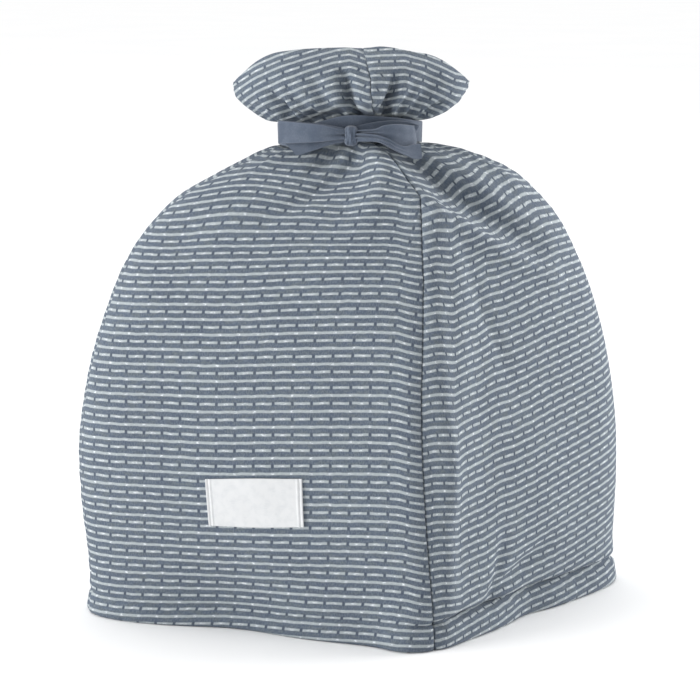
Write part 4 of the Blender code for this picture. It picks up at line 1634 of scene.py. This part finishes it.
@dataclass
class FrontLabel:
    """The blank woven label, sewn on by its two ends."""

    form: CosyForm
    width: float = 50.0
    height: float = 24.5
    thickness: float = 0.7
    lift: float = 0.35
    centre_x: float = -25.6
    centre_height: float = 69.5
    tilt: float = math.radians(3.7)
    columns: int = 100
    rows: int = 50
    end_fold: float = 3.2
    fold_rise: float = 0.28
    fold_eases_over: float = 0.5
    edge_round: float = 0.35
    thinnest: float = 0.02
    stitch_in: float = 1.5
    stitch_dip: float = 0.42
    stitch_half: float = 0.45
    stitch_share: float = 0.46  # how far the stitches go up and down from the middle
    stitch_samples: int = 160
    stitch_level: float = 0.82  # how far up the label's thickness the stitches lie
    side_bow: float = 0.22
    edge_crowding: float = 0.92  # how much closer together the mesh's lines are at the edges
    broad_hand: float = 0.14
    fine_hand: float = 0.08
    # The grid on which the label's places are looked up on the front panel
    levels: int = 24
    across_levels: int = 240
    panel_part: tuple[float, float] = (0.05, 0.95)
    far_from_seam: float = 50.0

    def places(self, right: Array, up: Array) -> tuple[Array, Array]:
        """The cloth under places of the label.

        Args:
            right: The places' distance to the right of the label's middle.
            up: Their distance above it.

        Returns:
            The points of the front panel's face there, and its normals.
        """
        form = self.form
        x_places = self.centre_x + right * math.cos(self.tilt) - up * math.sin(self.tilt)
        heights = self.centre_height + right * math.sin(self.tilt) + up * math.cos(self.tilt)
        along = form.station_at(heights)
        levels = np.linspace(along.min(), along.max(), self.levels)
        front = np.linspace(*self.panel_part, self.across_levels)
        across = form.plain_surface(*np.meshgrid(front, levels))[..., 0]
        # The levels are counted from 0, and the count stays just short of the last one.
        level = np.clip(np.interp(along, levels, np.arange(self.levels)), 0, self.levels - 1.001)
        low = level.astype(int)
        share = level - low
        found = [
            np.interp(x, across[row] * (1 - part) + across[row + 1] * part, front)
            for x, row, part in zip(x_places.ravel(), low.ravel(), share.ravel())
        ]
        around = np.array(found).reshape(x_places.shape)
        return form.cloth_surface(around, along, np.full(around.shape, self.far_from_seam))

    def build(self) -> bpy.types.Object:
        """Makes the label as one closed sheet with soft edges.

        Returns:
            The label's object.
        """
        share_x, share_y = (
            np.sin(np.linspace(-0.5, 0.5, count + 1) * np.pi * self.edge_crowding)
            for count in (self.columns, self.rows)
        )
        share_x, share_y = share_x / share_x[-1] / 2, share_y / share_y[-1] / 2
        right, up = np.meshgrid(self.width * share_x, self.height * share_y)
        bowed = self.side_bow * np.cos(2 * np.pi * right / self.width) * np.sign(up)
        nipped = up + bowed * (np.abs(up) / (self.height / 2)) ** 4
        points, normals = self.places(right, nipped)
        from_end = self.width / 2 - np.abs(right)
        from_side = self.height / 2 - np.abs(up)
        edge = np.minimum(from_end, from_side)
        round_over = np.sqrt(np.clip(1 - np.clip(1 - edge / self.edge_round, 0, 1) ** 2, self.thinnest, 1))
        folded = self.fold_rise * ease((self.end_fold - from_end) / self.fold_eases_over)
        stitched = self.stitch_dip * bell(from_end - self.stitch_in, self.stitch_half)
        hand = self.broad_hand * np.sin(right / 6.5 + 0.7) * np.sin(up / 7.5)
        hand = hand + self.fine_hand * np.sin(right / 2.9 + up / 3.7)
        middle = self.lift + self.thickness / 2 + hand + (folded - stitched) / 2
        half = (self.thickness / 2 + (folded - stitched) / 2) * round_over
        face = points + normals * (middle + half)[..., None]
        back = points + normals * (middle - half)[..., None]
        lay = np.stack([right, up, edge], axis=-1)
        return closed_sheet("front_label", face, back, lay)

    def dress(self, piece: bpy.types.Object, finish: bpy.types.Material) -> None:
        """Gives the label its white weave.

        Args:
            piece: The label's object.
            finish: The weave's material.
        """
        dressed(piece, finish, "label")
        flat = (self.width * MM, self.height * MM)

    def stitch_lines(self) -> list[tuple[Array, Array]]:
        """The two lines of stitches that hold the label's ends.

        Returns:
            For each line its points and the normals there.
        """
        lines = []
        for side in (-1.0, 1.0):
            up = np.linspace(-self.stitch_share, self.stitch_share, self.stitch_samples) * self.height
            right = np.full(up.shape, side * (self.width / 2 - self.stitch_in))
            points, normals = self.places(right, up)
            lines.append((points + normals * (self.lift + self.thickness * self.stitch_level), normals))
        return lines


@dataclass
class Stitching:
    """A run of sewn stitches, each a short thread that dips in at both ends."""

    name: str
    slot: str
    lines: list[tuple[Array, Array]]  # the points of each line on the cloth, and the normals there
    length: float
    gap: float
    radius: float
    sides: int = 8
    steps: int = 7
    dip: float = 1.6  # how deep a stitch's ends go in, in thread radii
    taper: float = 0.75
    thinnest: float = 0.1

    def sew(self, parts: MeshParts, points: Array, normals: Array) -> None:
        """Adds the stitches of one line.

        Args:
            parts: Where the stitches are added.
            points: The line's points on the cloth.
            normals: The cloth's normals there.
        """
        lengths = lengths_along(points[:, None, :], 0)[:, 0]
        pitch = self.length + self.gap
        part = np.linspace(-1.0, 1.0, self.steps)
        turn = 2 * np.pi * np.arange(self.sides) / self.sides
        for number in range(int((lengths[-1] - self.gap) // pitch)):
            middle = self.gap + pitch * number + self.length / 2
            at = middle + part * self.length / 2
            line, out = (
                np.stack([np.interp(at, lengths, track[:, axis]) for axis in range(3)], -1)
                for track in (points, normals)
            )
            out, ahead = unit(out), unit(np.gradient(line, axis=0))
            side = np.cross(ahead, out)
            sunk = -self.dip * self.radius * np.abs(part) ** 3
            thick = self.radius * np.sqrt(np.clip(1.0 - self.taper * part**4, self.thinnest, 1.0))
            centre = line + out * sunk[:, None]
            cos, sin = np.cos(turn)[None, :, None], np.sin(turn)[None, :, None]
            spokes = side[:, None, :] * cos + out[:, None, :] * sin
            rings = centre[:, None, :] + spokes * thick[:, None, None]
            lay = np.stack(np.broadcast_arrays(at[:, None], turn[None, :], 0.0), axis=-1)
            parts.add(rings, ring_faces(self.steps, self.sides, capped=True), lay)

    def build(self) -> bpy.types.Object:
        """Makes the stitches of all the lines as one piece.

        Returns:
            The stitches' object.
        """
        parts = MeshParts()
        for points, normals in self.lines:
            self.sew(parts, points, normals)
        return parts.build(self.name)

    def dress(self, piece: bpy.types.Object, finish: bpy.types.Material) -> None:
        """Gives the stitches their thread and their place."""
        dressed(piece, finish)


class SoftLight(NamedTuple):
    """A soft square light that faces the cosy."""

    name: str
    turn: float  # its turn round the cosy from the camera, in degrees, to the right
    rise: float  # its height above the horizon, in degrees
    size: float  # the length of its side, in metres
    power: float  # in watts


def away_to(around: float, up: float) -> Vector:
    """The way out from the cosy at a turn round it and a height above the horizon."""
    return Vector((math.sin(around) * math.cos(up), -math.cos(around) * math.cos(up), math.sin(up)))


@dataclass
class Studio:
    """The floor, the lights and the camera, in metres."""

    azimuth: float = math.radians(17.0)
    elevation: float = math.radians(11.0)
    distance: float = 1.1
    aim_height: float = 0.132
    aim_left: float = 0.0025
    lens: float = 108.0
    sensor: float = 36.0
    floor_half: float = 40.0
    sky: float = 0.46
    ceiling: float = 2.0
    ceiling_spread: float = math.radians(75.0)
    ceiling_tilt: tuple[float, float, float] = (math.radians(-10.0), math.radians(-12.0), 0.0)
    light_distance: float = 2.2
    lights: tuple[SoftLight, ...] = (
        SoftLight("left", -69.0, 10.0, 1.2, 38.5),
        SoftLight("right", 107.0, 10.0, 1.2, 49.0),
    )

    def lay_floor(self) -> None:
        """Lays the pale floor."""
        mesh = bpy.data.meshes.new("studio_floor")
        reach = self.floor_half
        corners = [(-reach, -reach, 0), (reach, -reach, 0), (reach, reach, 0), (-reach, reach, 0)]
        mesh.from_pydata(corners, [], [(0, 1, 2, 3)])
        floor = placed_object("studio_floor", mesh)
        floor.data.materials.append(StudioSweep().make())

    def hang_light(self, light: SoftLight) -> None:
        """Hangs one of the soft lights.

        Args:
            light: The light's name, place, size and power.
        """
        data = bpy.data.lights.new(light.name, "AREA")
        data.shape, data.size, data.energy = "SQUARE", light.size, light.power
        back = away_to(self.azimuth + math.radians(light.turn), math.radians(light.rise))
        self.aimed(placed_object(light.name, data), back, self.light_distance)

    def aimed(self, thing: bpy.types.Object, back: Vector, distance: float, left: float = 0.0) -> None:
        """Sets a light or the camera out from the cosy, facing it.

        Args:
            thing: The light or the camera.
            back: The way out from the cosy.
            distance: How far out it stands.
            left: How far to the left of the cosy's middle it aims.
        """
        right = Vector((math.cos(self.azimuth), math.sin(self.azimuth), 0.0))
        thing.location = Vector((0.0, 0.0, self.aim_height)) - right * left + back * distance
        thing.rotation_euler = back.to_track_quat("Z", "Y").to_euler()

    def light(self) -> None:
        """Lights the room evenly, with soft lights for shape."""
        world = bpy.data.worlds.new("studio_air")
        world.use_nodes = True
        air = world.node_tree.nodes["Background"]
        air.inputs[0].default_value, air.inputs[1].default_value = (1.0, 1.0, 1.0, 1.0), self.sky
        scene = bpy.context.scene
        scene.world = world
        scene.view_settings.view_transform = "Standard"
        for light in self.lights:
            self.hang_light(light)
        glow = bpy.data.lights.new("ceiling", "SUN")
        glow.energy, glow.angle = self.ceiling, self.ceiling_spread
        placed_object("ceiling", glow).rotation_euler = self.ceiling_tilt

    def place_camera(self) -> None:
        """Sets up the camera."""
        data = bpy.data.cameras.new("studio_camera")
        data.lens, data.sensor_width = self.lens, self.sensor
        camera = placed_object("studio_camera", data)
        self.aimed(camera, away_to(self.azimuth, self.elevation), self.distance, self.aim_left)
        bpy.context.scene.camera = camera


def report(piece: bpy.types.Object) -> None:
    """Reports a piece that has been built."""
    log.info("%s: %d points, %d faces", piece.name, len(piece.data.vertices), len(piece.data.polygons))


def weave_lays() -> dict[Panel, WeaveLay]:
    """How the pattern lies on each panel, drawn up by the tie near the front's right seam.

    Returns:
        The lay of each panel.
    """
    broad = {
        "tugs": (Tug(72.0, 64.0, 202.0, 0.45), Tug(6.0, 10.0, 250.0, 0.2)),
        "swells": (Swell(35.0, 38.0, 242.0, 32.0, 12.0),),
        "tugged_from_right": True,
    }
    narrow = {
        "tugs": (Tug(66.0, 78.0, 200.0, 0.26), Tug(7.0, 16.0, 208.0, 0.1)),
        "swells": (Swell(145.0, 42.0, 200.0, 50.0, 6.0),),
    }
    side_drift = {"drift_up": (0.0, 104.0, 143.0, 340.0), "drift": (-5.0, -6.3, -7.2, -8.0)}
    side_dashes = {"dash_pitch": 8.6, "dash_spread": 0.115}
    left_dashes = {"dash_pitch": 9.0, "dash_spread": 0.05, "left_droop": 3.0}
    return {
        Panel.FRONT: WeaveLay(126.87, 0.0504, right_droop=1.4, frill_row=-0.78, **broad),
        Panel.RIGHT: WeaveLay(106.47, 0.136, frill_row=-0.32, **side_dashes, **side_drift, **narrow),
        Panel.BACK: WeaveLay(124.9, 0.04, right_droop=2.0, faces_back=True, **broad),
        Panel.LEFT: WeaveLay(109.2, 0.12, faces_back=True, **left_dashes, **narrow),
    }


def main() -> None:
    """Builds and dresses the cosy, piece by piece."""
    logging.basicConfig(level=logging.INFO, format="%(name)s: %(message)s")
    form, lays = CosyForm(), weave_lays()
    broad, narrow = (205.0, 352.0), (170.0, 372.0)
    flats = {Panel.FRONT: broad, Panel.RIGHT: narrow, Panel.BACK: broad, Panel.LEFT: narrow}
    panels = [ClothPanel(which, form, lays[which], flats[which]) for which in Panel]
    label = FrontLabel(form)
    hem_lines = [panel.stitch_line() for panel in panels]
    cloth = StripedWeave().make()
    white = SewingThread("white_thread", (0.58, 0.60, 0.62), (0.68, 0.69, 0.70)).make()
    grey = SewingThread("grey_thread", (0.10, 0.12, 0.16), (0.20, 0.23, 0.28)).make()
    pieces = [
        *((panel, cloth) for panel in panels),
        (label, LabelWeave().make()),
        (Stitching("label_stitches", "woven_label", label.stitch_lines(), 1.7, 0.7, 0.16), white),
        (Stitching("hem_stitches", "striped_cloth", hem_lines, 3.0, 0.8, 0.24), grey),
        (NeckRibbon(form), RibbonTape().make()),
    ]
    for sewn, finish in pieces:
        piece = sewn.build()
        sewn.dress(piece, finish)
        report(piece)
    studio = Studio()
    studio.lay_floor()
    studio.light()
    studio.place_camera()


if __name__ == "__main__":
    main()
